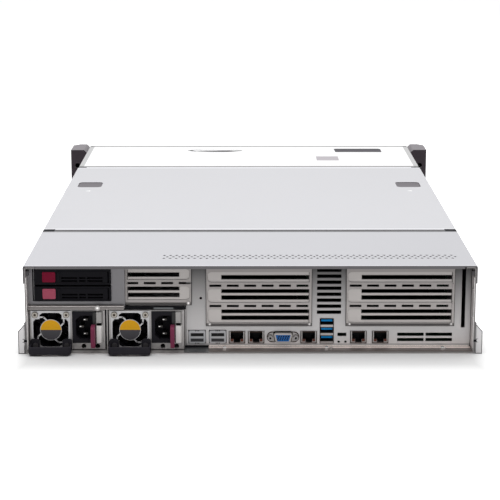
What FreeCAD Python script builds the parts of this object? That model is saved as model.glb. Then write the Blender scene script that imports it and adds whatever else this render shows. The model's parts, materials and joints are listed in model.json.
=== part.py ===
"""A rack server two units high, seen from its power and expansion side.

Millimetres. While it is built, X runs to the right as seen from behind, Y runs from the rear edge of
the chassis (0) to the front, and Z is up from the floor. export() then moves every piece along Y, so
that the origin ends at the middle of the footprint, on the surface the server stands on.
"""
import FreeCAD, Part
import math
import os

V = FreeCAD.Vector
os.makedirs("parts", exist_ok=True)

# ---------------------------------------------------------------- chassis
RACK_UNIT = 44.45
BODY_W = 435.0            # over the side walls
BODY_L = 727.0            # rear edge to the front edge of the front cover
BODY_H = 87.5
SHEET = 1.2               # chassis steel
PANEL_T = 1.0             # rear panel, covers and cages
BEND_R = 0.8              # inside radius of every bend
FIT = 0.1                 # between pieces that seat on each other
SLIP = 0.35               # between pieces that slide past each other
SIDE_FLANGE = 9.0         # inward flange along the top of each side wall
WING_OUT = 7.5            # rail stop that is bent outward at each rear corner
WING_H = 30.0
WING_CHAMFER = 7.5
STOP_L = 20.0             # leg of a rail stop along the side wall
BRACE_SHORT = 7.8         # cross braces end this far from each side wall
BRACE_W = 14.0
BAY_Y = (20.0, 192.0)     # power supply bay
LINER_Y = 2.5             # rear edge of the liner beside the left power supply
BAY_ROOM = 0.5            # round the power supplies in their bay
STANDOFF_R = 3.0
STANDOFF_IN = 21.0
STANDOFF_BACK = 33.0

# ---------------------------------------------------------------- covers
COVER_T = 1.0
COVER_SEAT = 0.2          # covers ride this far over the side flanges
COVER_GAP = 0.25          # beside each side wall
HEM_H = 3.0
SKIRT_H = 17.5            # side skirts of the rear and middle covers
REAR_COVER_L = 165.0
MIDDLE_COVER_L = 387.0
SEAM = 3.0                # open seam between two covers
SEAM_NOTCH = (11.0, 4.0)  # relief at each rear cover corner, along X and Y
VENT_HOLE_R = 1.8
VENT_PITCH = 6.02
VENT_ROWS = 3
VENT_ROW_STEP = 6.4
VENT_COUNT = 48
VENT_X0 = -84.5
VENT_Y0 = 33.6
PAD_W = 28.0
PAD_L = 32.0
PAD_R = 5.0
PAD_IN = 25.7             # centre of each release pad from the side wall
PAD_BACK = 124.0          # and from the front edge of the middle cover
PAD_SUNK = 0.5
PAD_TRAVEL = 2.0
PAD_FLANGE = 1.5
CRESCENT = (-45.5, 36.5, 35.5)        # middle, distance behind the front edge, half width
LONG_SLOT = (116.0, 178.0, 41.5, 26.0)    # across, then distances behind the front edge

# ---------------------------------------------------------------- rear wall
RECESS = 20.0             # rear panel behind the rear edge of the chassis
PANEL_BESIDE = 1.9        # left edge of the rear panel from the right power supply
PANEL_UNDER = 1.5         # top of the rear panel under the cover
LEDGE_RIVET_AT = (37.6, 141.5, 252.5)
LEDGE_IN = 22.0           # the panel's foot flange starts this far from its left edge
FOOT_GAP = 3.0            # from the rear edge to the foot flange
COLUMN_AT = (127.7, 151.4)    # column of exhaust slots between the risers
COLUMN_DOWN = 4.6         # its first slot under the top of the panel
COLUMN_OVER_USB = 4.7     # its last slot over the serial bus ports
COLUMN_COUNT = 8
COLUMN_SLOT_H = 3.5
TALL_SLOT_IN = (6.1, 9.9)    # across, from the right side wall
TALL_SLOT_Z0 = 20.8
TALL_SLOT_DOWN = 3.0
LOW_VENT_AT = (206.8, 234.6)
LOW_VENT_W = 26.0
LOW_VENT_Z = (6.9, 12.3)
LOW_VENT_H = 3.3
PORT_CLEAR = 0.25
TOP_FLANGE = 9.0          # flange of the panel under the cover
PORT_Z0 = 5.0             # underside of the port shells, on the system board
RJ_AT = (49.55, 68.3, 119.9, 168.7, 190.1)    # ports are placed from the left edge of the panel
RJ_W = 15.8
RJ_H = 12.4
RJ_L = 21.2
RJ_MOUTH_D = 14.2
PORT_OUT = 1.2            # ports stand out of the panel
RJ_MOUTH_HALF = 6.3
RJ_STEP_HALF = 3.3        # half width of the lower part, for the latch of the plug
RJ_MOUTH_Z = (1.2, 4.2, 11.4)    # bottom, shoulder and top of the mouth over the underside
TWIN_AT = (10.5, 30.7)
TWIN_W = 16.8
TWIN_L = 20.0
TWIN_MOUTH_W = 12.2
TWIN_MOUTH_H = 2.6
TWIN_MOUTH_D = 10.2
TWIN_MOUTH_Z = (2.3, 7.7)
TWIN_H = 13.4
VGA_AT = 94.7
VGA_Z = 11.6
VGA_SCREW_SPAN = 25.0
VGA_SCREW_R = 1.7
VGA_SHELL_W = 18.2
VGA_SHELL_H = 9.8
VGA_FLANGE = (31.8, 10.8)
VGA_FLANGE_R = 5.2
VGA_RIM = 1.6             # from the outside of the shell to the insert
USB_AT = 137.6
USB_W = 13.4
USB_H = 25.0
USB_PITCH = 8.45
KEY_SLOT_AT = (148.1, 156.9)
KEY_SLOT_Z = (12.1, 15.6)
SIGNAL_HOLE_AT = (149.4, 156.1)
SIGNAL_HOLE_Z = 6.4
SIGNAL_HOLE_R = 1.2
PILOT_HOLE_AT = 14.3
PILOT_HOLE_Z = 50.7

# ---------------------------------------------------------------- expansion slots
RISER_PROUD = 3.0         # riser faces stand out from the rear panel
RISER_Z0 = 23.4
RISER_UNDER = 1.4         # top of the risers under the top of the panel
RISER_W = 102.6
RISER_AT = (19.8, 156.4)  # left edges of risers B and C from the left edge of the panel
RISER_C_WIDER = 2.6
RISER_A_AT = (-59.3, 4.9)
RISER_A_OVER = 3.6        # riser A over the power supply
RISER_L = 170.0
RISER_BOARD_Y = (40.0, 150.0)     # behind the rear panel
RISER_BOARD_LOW = (11.0, 20.0)    # under the lowest slot, riser A and the others
RISER_BOARD_UNDER = 5.0   # under the top of the riser
CARD_SOCKET_D = 8.0
CARD_SOCKET_H = 7.4
RISER_EDGE = 1.3          # a riser face laps the panel opening by this much
SLOT_FIRST = 9.95         # middle of the lowest slot over the bottom of its riser
SLOT_FIRST_A = 11.8
SLOT_LAST = 9.61          # middle of the highest slot under the top of its riser
SLOT_LAST_A = 6.9
SLOT_BAND = 6.92          # sheet left between two openings
TOP_BAND = 6.2            # sheet left over the highest opening
TOP_BAND_A = 3.2
SLOT_END = 2.2            # frame left at the plain end of an opening
SLOT_TAB_END = 1.2        # and at its rounded end
SLOT_TAB_R = 4.2
SLOT_TAB = 14.8           # plain screw tab of a blank, before its vents
SLOT_TAB_A = 11.5
DASH_START = 3.0
DASH_START_A = 1.4
DASH_W = 11.6
DASH_PITCH = 16.95
DASH_H = 2.3
BLANK_T = 0.8
BLANK_CLEAR = 0.05
BLANK_EDGE = 0.5          # sheet left beside a vent
BLANK_LAP = 2.2           # a blank overlaps its opening behind the frame
BLANK_ROW = 3.35          # each vent of a blank from the middle of the pair
BLANK_RISE = 1.45         # the pair of vents over the middle of its slot
BLANK_SLOT_H = 3.9
HOOK_W = 1.4              # hooks on the right edge of riser C
HOOK_H = (4.4, 1.6)

# ---------------------------------------------------------------- power supplies
PSU_W = 73.0
PSU_H = 38.8
PSU_L = 185.0
PSU_Y = 10.0              # face plane
PSU_Z = 2.2
PSU_IN = 1.8              # left supply from the side wall
PSU_BETWEEN = 4.0
PSU_WALL = 0.8
PSU_FAN_GAP = 0.1         # round the fan inside its case
FAN_X = 20.4              # fan axis from the left side of the supply
FAN_Z = 19.5              # fan axis above its underside
FAN_FACETS = 16
FAN_BORE_R = 17.6
FAN_DEPTH = 28.0
FAN_SCREW = 15.2          # screw places from the fan axis
FAN_TIP_R = 16.0
FAN_HUB_R = 9.0
PIN_R = 1.2
PIN_L = 9.0
ROTOR_SET = 4.0           # behind the face of the supply
ROTOR_L = 12.0
ROTOR_CHORD = 9.0
ROTOR_PITCH = 35.0        # degrees
MOTOR_GAP = 0.6           # behind a rotor
MOTOR_T = 2.4
GUARD_T = 0.8
GUARD_HALF = 18.9
GUARD_DISC_R = 10.8
GUARD_RIM = 1.5
GUARD_PAD = 11.2          # each window reaches this far along the rim
GUARD_ARM = 2.4
SCREW_HEAD_R = 2.6
SCREW_HEAD_H = 1.3
SCREW_FACETS = 10         # small round heads repeat, so each has few sides
TONGUE_X = (20.0, 52.0)   # card edge at the inner end
TONGUE_Z = 15.0
TONGUE_L = 8.0
HANDLE_REACH = 19.0       # the handle stands this far out of the face
HANDLE_HALF = 20.4
HANDLE_GAP = 11.0         # half of the finger opening
HANDLE_BAR = 4.4
HANDLE_H = 4.8
HANDLE_LIFT = 1.0         # the bar sits this much over the web
HANDLE_WEB = 1.4
HANDLE_RIB = 1.5
HANDLE_FOOT_T = 1.5
HANDLE_FOOT_H = 10.6
INLET_X = (41.3, 62.2)    # across the inlet flange, from the left side of the supply
INLET_Z = (6.4, 38.0)
INLET_MOUTH_X = (44.7, 60.9)
INLET_MOUTH_Z = (9.6, 34.0)
INLET_DEPTH = 17.0
INLET_PIN_SET = 4.6       # the blades end this far inside the mouth
LATCH_X = (60.1, 63.9)    # across the grip
LATCH_Z = (3.9, 25.3)
LATCH_LEG_X = 64.9
LATCH_REACH = 13.5
LATCH_TRAVEL = 2.0
SPRING_X = (65.0, 71.0)
SPRING_Z = (6.8, 37.6)
SPRING_T = 0.6
STATUS_HOLES = (52.2, 65.6)
STATUS_R = 2.4
STATUS_Z = 2.9

# ---------------------------------------------------------------- rear drive cage
CAGE_IN = 0.2             # cage from the left side wall
CAGE_W = 94.1
CAGE_OVER = 1.6           # over the power supplies
CAGE_UNDER = 1.9          # under the cover
CAGE_Y = (12.0, 126.0)
BAY_W = 74.6
BAY_IN = 6.6              # bays from the left side of the cage
BAY_BESIDE = 1.8          # dark gap at the left of the carriers
BAY_UP = 7.4              # lower bay over the bottom of the cage
BAY_APART = 1.4
SHELF_SET = 3.0           # shelves and bay walls start this far behind the face of the cage
BAY_DOWN = 2.8            # upper bay under the top of the cage
LIP_REACH = 5.0
CAGE_SCREW_X = 68.0       # screw through the lip, from the left side of the cage
LIP_H = 4.2
CARRIER_CLEAR = 0.3
CARRIER_FACE_Y = 9.0
CARRIER_L = 110.0
CARRIER_BEZEL = 7.0       # depth of the moulded front
BUTTON_X = 8.0            # from the left side of the carrier
BUTTON_W = 12.6
BUTTON_LOW = 2.6          # over the bottom of the carrier, and under the top of its bay
BUTTON_Y = (-0.6, 3.5)    # from the front of the carrier
BUTTON_TRAVEL = 1.5
LEVER_X = (22.4, 71.6)
LEVER_LOW = 2.0
LEVER_HIGH = 2.3          # under the top of its bay
LEVER_SLOT_H = 0.17       # share of the height of the lever
LEVER_SLOT_Z = (0.08, 0.35)      # the same, from its bottom
LEVER_SLOT_X = ((4.0, 19.5), (21.0, 27.5), (29.0, 44.0))
LEVER_T = 3.2
LEVER_PIN_X = 70.0
LEVER_PIN_R = 0.9
PIN_CLEAR = 0.05
DRIVE_W = 69.85
DRIVE_L = 98.0
DRIVE_ROOM = 5.7          # bay height less the height of its drive

# ---------------------------------------------------------------- front
EAR_REACH = 23.8          # each ear beyond the side wall, which makes 482.6 over both
EAR_LAP = 36.0            # face that meets the rack posts, behind the front edge
EAR_FORWARD = 14.0
EAR_WALL = 2.4
EIA_HOLE_IN = 8.75        # from the outer edge of the ear
EIA_HOLE_R = 3.5
EIA_HOLE_Z = (21.525, 21.525 + RACK_UNIT)
POWER_IN = 12.3           # power button from the outer edge of the ear
POWER_Z = 44.0
POWER_R = 5.0
BUTTON_WELL = 8.0
FRONT_BAYS = 4
FRONT_CAGE_L = 167.0
FRONT_WALL = 1.2
FRONT_BAY_H = 27.8
FRONT_SHELF_Z = (2.0, 31.0, 60.0)     # underside of each shelf of the front cage
FRONT_FACE = 13.0         # depth of a front bay's moulded front
FRONT_DRIVE = (101.6, 147.0, 20.0)
FRONT_LEVER_W = 66.0
FRONT_LEVER_T = 4.0
FRONT_LEVER_Z = 5.4       # from the bottom and the top of its carrier
CAGE_CLEAR = 0.3          # front cage from the side walls
FRONT_VENTS = 12
FRONT_VENT_W = 26.0
FRONT_VENT_PITCH = 32.0
FRONT_VENT_UP = 6.0
FRONT_VENT_EDGE = 7.8
FRONT_BLANK_L = 60.0
LOUVRE_PITCH = 5.0
LOUVRE_H = 2.5

# ---------------------------------------------------------------- inside
BOARD_T = 1.6
BOARD_Y0 = 24.0
BOARD_SHORT = 15.0        # board ends this far behind the fans
FAN80_ROOM = 6.5          # cover to floor, less the size of a fan
FAN80_L = 38.0
FAN80_BACK = 55.0         # rear face of the fans behind the front cage
FAN80_RIM = 2.0
BLADE_CLEAR = 3.0
FAN80_X = (-156.0, -52.0, 52.0, 156.0)
FAN80_ROTOR_SET = 5.0     # behind the face of the fan
FAN80_ROTOR_L = 24.0
FAN80_CHORD = 24.0
FAN80_PITCH = 38.0        # degrees
FAN80_PIN_R = 2.0
FAN80_PIN_L = 12.0
FAN80_HUB_R = 17.0
SINK_X = 105.0
SINK_W = 78.0
SINK_L = 95.0
SINK_H = 60.0
SINK_FINS = 12
SINK_BACK = 135.0         # rear end behind the fans
DIMM_L = 133.35
DIMM_H = 31.25
DIMM_T = 1.4
DIMM_PITCH = 8.0
DIMM_BACK = 195.0
DIMM_X = (12.0, 152.0)    # first module of each bank from the middle plane
DIMM_BANK = 6

# ---------------------------------------------------------------- worked out from the values above
INNER_X = BODY_W / 2 - SHEET
COVER_Z = BODY_H - COVER_T
SIDE_TOP = COVER_Z - COVER_SEAT
BRACE_X = INNER_X - BRACE_SHORT
BOARD_TOP = PORT_Z0
BOARD_Z = BOARD_TOP - BOARD_T
FRONT_COVER_Y = REAR_COVER_L + SEAM + MIDDLE_COVER_L
PAD_X = BODY_W / 2 - PAD_IN
PAD_Y = FRONT_COVER_Y - PAD_BACK
PAD_DEPTH = SLIP + PAD_FLANGE + PAD_TRAVEL + 2.0    # below the underside of the cover
EAR_OUT = BODY_W / 2 + EAR_REACH
EAR_Y = BODY_L - EAR_LAP
EAR_FRONT = BODY_L + EAR_FORWARD
EIA_HOLE_X = EAR_OUT - EIA_HOLE_IN
POWER_X = EAR_OUT - POWER_IN
SHIFT_Y = -(EAR_FRONT + PSU_Y - HANDLE_REACH) / 2
PSU_X = (PSU_IN - INNER_X, PSU_IN - INNER_X + PSU_W + PSU_BETWEEN)
PSU_TOP = PSU_Z + PSU_H
CAGE_X = (CAGE_IN - INNER_X, CAGE_IN - INNER_X + CAGE_W)
CAGE_Z = (PSU_TOP + CAGE_OVER, COVER_Z - CAGE_UNDER)
BAY_X0 = CAGE_X[0] + BAY_IN
BAY_H = (CAGE_Z[1] - CAGE_Z[0] - BAY_UP - BAY_APART - BAY_DOWN) / 2
BAY_Z = (CAGE_Z[0] + BAY_UP, CAGE_Z[0] + BAY_UP + BAY_H + BAY_APART)
BUTTON_Z = (BUTTON_LOW, BAY_H - BUTTON_LOW)
LEVER_Z = (LEVER_LOW, BAY_H - LEVER_HIGH)
DRIVE_H = BAY_H - DRIVE_ROOM
PANEL_Y = RECESS
PANEL_X0 = PSU_X[1] + PSU_W + PANEL_BESIDE
PANEL_TOP = COVER_Z - PANEL_UNDER
RJ_X = [PANEL_X0 + x for x in RJ_AT]
TWIN_X = [PANEL_X0 + x for x in TWIN_AT]
VGA_X = PANEL_X0 + VGA_AT
USB_X = PANEL_X0 + USB_AT
COLUMN_X = [PANEL_X0 + x for x in COLUMN_AT]
COLUMN_TOP = PANEL_TOP - COLUMN_DOWN
COLUMN_PITCH = (COLUMN_TOP - COLUMN_SLOT_H - COLUMN_OVER_USB - PORT_Z0 - USB_H) / (COLUMN_COUNT - 1)
RISER_TOP = PANEL_TOP - RISER_UNDER
RISER_A_X = [PANEL_X0 + x for x in RISER_A_AT]
RISER_A_Z0 = PSU_TOP + RISER_A_OVER
RISER_B_X = (PANEL_X0 + RISER_AT[0], PANEL_X0 + RISER_AT[0] + RISER_W)
RISER_C_X = (PANEL_X0 + RISER_AT[1], PANEL_X0 + RISER_AT[1] + RISER_W + RISER_C_WIDER)
SLOT_PITCH = (RISER_TOP - SLOT_LAST - RISER_Z0 - SLOT_FIRST) / 2
SLOT_Z = [RISER_Z0 + SLOT_FIRST + k * SLOT_PITCH for k in range(3)]
SLOT_Z_A = (RISER_A_Z0 + SLOT_FIRST_A, RISER_TOP - SLOT_LAST_A)
SLOT_OPEN_H = SLOT_PITCH - SLOT_BAND
FRONT_CAGE_Y = BODY_L - FRONT_CAGE_L
FAN80 = COVER_Z - FAN80_ROOM
FAN80_Y = FRONT_CAGE_Y - FAN80_BACK
FAN80_BORE_R = FAN80 / 2 - FAN80_RIM
SINK_Y = FAN80_Y - SINK_BACK
DIMM_Y = FAN80_Y - DIMM_BACK
BOARD_Y1 = FAN80_Y - BOARD_SHORT


# ================================================================ drawing helpers
def at(plane, u, v, w):
    """The point (u, v) of a plane, w along its normal: XY is (x, y), XZ is (x, z), YZ is (y, z)."""
    if plane == "XY":
        return V(u, v, w)
    if plane == "XZ":
        return V(u, w, v)
    return V(w, u, v)


def outline(plane, w, points, radius=0.0):
    """A closed wire through the points, its corners rounded by one radius or by one for each."""
    count = len(points)
    radii = radius if isinstance(radius, (list, tuple)) else [radius] * count
    stations = []
    for i, (u, v) in enumerate(points):
        before, after = points[i - 1], points[(i + 1) % count]
        r = radii[i]
        here = V(u, v, 0)
        if r <= 0:
            stations.append((here, None, here))
            continue
        a = (V(before[0], before[1], 0) - here).normalize()
        b = (V(after[0], after[1], 0) - here).normalize()
        half = a.getAngle(b) / 2
        start, end = here + a * (r / math.tan(half)), here + b * (r / math.tan(half))
        centre = here + (a + b).normalize() * (r / math.sin(half))
        middle = centre + (here - centre).normalize() * r
        stations.append((start, middle, end))
    edges = []
    for i, (start, middle, end) in enumerate(stations):
        if middle is not None:
            edges.append(Part.Arc(*[at(plane, p.x, p.y, w) for p in (start, middle, end)]).toShape())
        following = stations[(i + 1) % count][0]
        if (following - end).Length > 1e-6:
            ends = [at(plane, p.x, p.y, w) for p in (end, following)]
            edges.append(Part.LineSegment(*ends).toShape())
    return Part.Wire(edges)


def rectangle(u0, u1, v0, v1):
    return [(u0, v0), (u1, v0), (u1, v1), (u0, v1)]


def extrude(plane, w, depth, outer, holes=()):
    """The wire, less the hole wires, drawn out along the plane's normal."""
    face = Part.makeFace([outer, *holes], "Part::FaceMakerBullseye")
    return face.extrude(at(plane, 0, 0, depth))


def block(x, y, z):
    return Part.makeBox(x[1] - x[0], y[1] - y[0], z[1] - z[0], V(x[0], y[0], z[0]))


def plate(plane, w, depth, points, radius=0.0, holes=()):
    return extrude(plane, w, depth, outline(plane, w, points, radius), holes)


def sheet(plane, w, depth, path, thickness, radius=BEND_R):
    """A bent sheet: the path is its middle line, and every bend has the same inside radius."""
    points = [V(u, v, 0) for u, v in path]
    sides = ([], [])
    radii = ([], [])
    for i, p in enumerate(points):
        before = (p - points[i - 1]).normalize() if i else None
        after = (points[i + 1] - p).normalize() if i + 1 < len(points) else None
        first, last = before or after, after or before
        normal = (V(-first.y, first.x, 0) + V(-last.y, last.x, 0)).normalize()
        reach = thickness / 2 / max(0.2, normal.dot(V(-first.y, first.x, 0)))
        turn = first.cross(last).z
        for side, sign in enumerate((1, -1)):
            q = p + normal * (sign * reach)
            sides[side].append((q.x, q.y))
            if before is None or after is None:
                radii[side].append(0.0)
            else:
                radii[side].append(radius if turn * sign > 0 else radius + thickness)
    return plate(plane, w, depth, sides[0] + sides[1][::-1], radii[0] + radii[1][::-1])


def cylinder(plane, w, depth, u, v, r):
    return Part.makeCylinder(r, depth, at(plane, u, v, w), at(plane, 0, 0, 1))


def polygon_wire(plane, w, u, v, r, sides, turn=0.0):
    corners = []
    for k in range(sides):
        a = turn + 2 * math.pi * k / sides
        corners.append((u + r * math.cos(a), v + r * math.sin(a)))
    return outline(plane, w, corners)


def fuse(first, *others):
    return first.fuse(list(others)).removeSplitter()


def export(node, *solids):
    """Writes one node, moved so that the origin is at the middle of the footprint."""
    shape = solids[0] if len(solids) == 1 else Part.makeCompound(list(solids))
    shape = shape.copy()
    shape.translate(V(0, SHIFT_Y, 0))
    shape.exportStep("parts/" + node + ".step")


# ================================================================ chassis sheet metal
def cutters(*solids):
    return Part.makeCompound(list(solids))


def make_tray():
    """Floor and side walls from one sheet, with the power supply bay and two cross braces welded in."""
    half, top = (BODY_W - SHEET) / 2, SIDE_TOP - SHEET / 2
    path = [(SIDE_FLANGE - half, top), (-half, top), (-half, SHEET / 2),
            (half, SHEET / 2), (half, top), (half - SIDE_FLANGE, top)]
    tray = sheet("XZ", 0, BODY_L, path, SHEET)
    pieces = []
    for y in (REAR_COVER_L + SEAM / 2, FRONT_COVER_Y - SEAM / 2):
        along = (y - BRACE_W / 2, y + BRACE_W / 2)
        pieces.append(block((-BRACE_X, BRACE_X), along, (SIDE_TOP - SHEET, SIDE_TOP)))
    bay_side = PSU_X[1] + PSU_W + BAY_ROOM + PANEL_T / 2
    roof = PSU_TOP + BAY_ROOM + PANEL_T / 2
    bay = [(-INNER_X, roof), (bay_side, roof), (bay_side, SHEET)]
    pieces.append(sheet("XZ", BAY_Y[0], BAY_Y[1] - BAY_Y[0], bay, PANEL_T))
    middle = PSU_X[1] - PSU_BETWEEN / 2
    pieces.append(block((middle - PANEL_T / 2, middle + PANEL_T / 2), (CAGE_Y[0], BAY_Y[1]), (SHEET, roof)))
    pieces.append(block((-INNER_X, PANEL_T - INNER_X), (LINER_Y, BAY_Y[1]), (SHEET, PSU_TOP + BAY_ROOM)))
    places = [(x, y) for x in (STANDOFF_IN - INNER_X, 0.0, INNER_X - STANDOFF_IN)
              for y in (BAY_Y[1] + STANDOFF_BACK, BOARD_Y1 - STANDOFF_IN)]
    places += [(x, PANEL_Y + STANDOFF_BACK) for x in (PANEL_X0 + STANDOFF_BACK, INNER_X - STANDOFF_IN)]
    for x, y in places:
        wire = polygon_wire("XY", SHEET, x, y, STANDOFF_R, 6)
        pieces.append(extrude("XY", SHEET, BOARD_Z - SHEET - FIT, wire))
    return fuse(tray, *pieces)


def make_rail_stops():
    """Angles on the outside of the side walls; the outward leg stops the slide rail."""
    stops = []
    for side in (1, -1):
        x0 = BODY_W / 2 + SHEET / 2
        x1 = BODY_W / 2 + WING_OUT
        fold = [(side * x0, STOP_L), (side * x0, SHEET / 2), (side * x1, SHEET / 2)]
        leg = sheet("XY", 0, WING_H, fold, SHEET)
        slant = side * (x1 - WING_OUT)
        corner = [(side * x1, WING_H - WING_CHAMFER), (side * x1, WING_H + 1), (slant, WING_H + 1)]
        hole = extrude("XZ", -1, 4, polygon_wire("XZ", -1, side * (x0 + 2.0), 13.2, 1.3, 6))
        stops.append(leg.cut(cutters(plate("XZ", -1, 4, corner), hole)))
    return stops


def make_rear_panel():
    """The rear wall: a foot flange towards the rear edge, a flange under the cover, and every opening."""
    x1 = INNER_X - BEND_R - FIT
    foot = SHEET + FIT + PANEL_T / 2
    wall, top = PANEL_Y + PANEL_T / 2, PANEL_TOP - PANEL_T / 2
    fold = [(FOOT_GAP, foot), (wall, foot), (wall, top), (wall + TOP_FLANGE, top)]
    panel = sheet("YZ", PANEL_X0, x1 - PANEL_X0, fold, PANEL_T)
    y, depth = PANEL_Y - 1.0, PANEL_T + 2.0

    def opening(x0, x1, z0, z1):
        return block((x0, x1), (y, y + depth), (z0, z1))

    def port(x, width, height):
        half = width / 2 + PORT_CLEAR
        return opening(x - half, x + half, PORT_Z0 - PORT_CLEAR, PORT_Z0 + height + PORT_CLEAR)

    cuts = [block((PANEL_X0 - 1, PANEL_X0 + LEDGE_IN), (0, PANEL_Y - 0.1), (0, foot + PANEL_T))]
    for x0, x1 in (RISER_B_X, RISER_C_X):
        cuts.append(block((x0 + RISER_EDGE, x1 - RISER_EDGE), (y, PANEL_Y + TOP_FLANGE + 3),
                          (RISER_Z0 + RISER_EDGE, PANEL_TOP + 1)))
    for k in range(COLUMN_COUNT):
        z = COLUMN_TOP - k * COLUMN_PITCH
        cuts.append(opening(*COLUMN_X, z - COLUMN_SLOT_H, z))
    near, far = [INNER_X - inset for inset in TALL_SLOT_IN]
    cuts.append(opening(far, near, TALL_SLOT_Z0, PANEL_TOP - TALL_SLOT_DOWN))
    for x in LOW_VENT_AT:
        for z in LOW_VENT_Z:
            cuts.append(opening(PANEL_X0 + x, PANEL_X0 + x + LOW_VENT_W, z, z + LOW_VENT_H))
    cuts += [port(x, RJ_W, RJ_H) for x in RJ_X] + [port(x, TWIN_W, TWIN_H) for x in TWIN_X]
    cuts.append(port(USB_X, USB_W, USB_H))
    cuts.append(plate("XZ", y, depth, d_shape(VGA_SHELL_W / 2 + PORT_CLEAR, VGA_SHELL_H / 2 + PORT_CLEAR)))
    for side in (-1, 1):
        cuts.append(cylinder("XZ", y, depth, VGA_X + side * VGA_SCREW_SPAN / 2, VGA_Z, VGA_SCREW_R))
    cuts.append(opening(*[PANEL_X0 + x for x in KEY_SLOT_AT], *KEY_SLOT_Z))
    for x in SIGNAL_HOLE_AT:
        cuts.append(cylinder("XZ", y, depth, PANEL_X0 + x, SIGNAL_HOLE_Z, SIGNAL_HOLE_R))
    cuts.append(cylinder("XZ", y, depth, PANEL_X0 + PILOT_HOLE_AT, PILOT_HOLE_Z, 1.3))
    return panel.cut(cutters(*cuts))


def d_shape(half_w, half_h):
    """Corners of a trapezium for the video connector, wider at its top."""
    slope = 1.9
    return [(VGA_X - half_w + slope, VGA_Z - half_h), (VGA_X + half_w - slope, VGA_Z - half_h),
            (VGA_X + half_w, VGA_Z + half_h), (VGA_X - half_w, VGA_Z + half_h)]


# ================================================================ covers
def cover_sheet(y0, length, skirts=True):
    """A flat cover with a skirt folded down over each side wall."""
    x, top = BODY_W / 2 + COVER_GAP + COVER_T / 2, BODY_H - COVER_T / 2
    path = [(-x, BODY_H - SKIRT_H), (-x, top), (x, top), (x, BODY_H - SKIRT_H)]
    if skirts:
        return sheet("XZ", y0, length, path, COVER_T)
    return block((-BODY_W / 2, BODY_W / 2), (y0, y0 + length), (COVER_Z, BODY_H))


def make_rear_cover():
    """Rear cover: three staggered rows of exhaust holes, a hem at the back, relieved front corners."""
    cover = cover_sheet(0, REAR_COVER_L)
    x = BODY_W / 2 - SEAM_NOTCH[0]
    hem = block((-x, x), (0, COVER_T), (BODY_H - HEM_H, COVER_Z))
    holes = []
    for row in range(VENT_ROWS):
        shift = VENT_PITCH / 2 if row % 2 else 0
        for k in range(VENT_COUNT):
            u, v = VENT_X0 + shift + k * VENT_PITCH, VENT_Y0 + row * VENT_ROW_STEP
            wire = polygon_wire("XY", COVER_Z - 0.5, u, v, VENT_HOLE_R, 4)
            holes.append(extrude("XY", COVER_Z - 0.5, COVER_T + 1, wire))
    for side in (-1, 1):
        notch = sorted((side * x, side * (BODY_W / 2 + 3)))
        end = (REAR_COVER_L - SEAM_NOTCH[1], REAR_COVER_L + 1)
        holes.append(block(notch, end, (COVER_Z - 2, BODY_H + 1)))
    return fuse(cover, hem).cut(cutters(*holes))


def make_middle_cover():
    """Middle cover, with a rounded opening for each release pad."""
    cover = cover_sheet(REAR_COVER_L + SEAM, MIDDLE_COVER_L)
    openings = []
    for side in (-1, 1):
        openings.append(plate("XY", COVER_Z - 1, COVER_T + 2, pad_corners(side, SLIP), PAD_R + SLIP))
        notch = sorted((side * (BODY_W / 2 - SEAM_NOTCH[0] + 1), side * (BODY_W / 2 + 3)))
        far = REAR_COVER_L + SEAM + MIDDLE_COVER_L
        openings.append(block(notch, (far - SEAM_NOTCH[1], far + 1), (COVER_Z - 2, BODY_H + 1)))
    return cover.cut(cutters(*openings))


def pad_corners(side, grow=0.0):
    x, w, h = side * PAD_X, PAD_W / 2 + grow, PAD_L / 2 + grow
    return rectangle(x - w, x + w, PAD_Y - h, PAD_Y + h)


def make_pad(side):
    """A release pad: it shows through the cover, and its flange under the cover keeps it captive."""
    top = BODY_H - PAD_SUNK
    under = COVER_Z - SLIP - PAD_FLANGE
    pad = plate("XY", under, top - under, pad_corners(side), PAD_R)
    flange_x = sorted((side * (PAD_X - PAD_W / 2 - 2.5), side * (PAD_X + PAD_W / 2 - 0.5)))
    flange = block(flange_x, (PAD_Y - PAD_L / 2 - 2.5, PAD_Y + PAD_L / 2 + 2.5),
                   (COVER_Z - SLIP - PAD_FLANGE, COVER_Z - SLIP))
    stem = block(sorted((side * (PAD_X - 8), side * (PAD_X + 8))), (PAD_Y - 10, PAD_Y + 10),
                 (COVER_Z - PAD_DEPTH, COVER_Z - SLIP - PAD_FLANGE))
    return fuse(pad, flange, stem)


def make_front_cover():
    """Front cover, screwed down over the drive cage, with a crescent slot and a long slot."""
    cover = cover_sheet(FRONT_COVER_Y, BODY_L - FRONT_COVER_Y, skirts=False)
    y0, y1 = COVER_Z - 1, COVER_T + 2
    middle, low, half = CRESCENT
    arc = [(-half, -8.0), (-half / 2, -2.5), (0, 0), (half / 2, -2.5), (half, -8.0),
           (half / 2, -5.3), (0, -3.5), (-half / 2, -5.3)]
    crescent = plate("XY", y0, y1, [(middle + u, BODY_L - low + v) for u, v in arc])
    x0, x1, near, far = LONG_SLOT
    bar = plate("XY", y0, y1, rectangle(x0, x1, BODY_L - near, BODY_L - far), 3.0)
    return cover.cut(cutters(crescent, bar))


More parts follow.
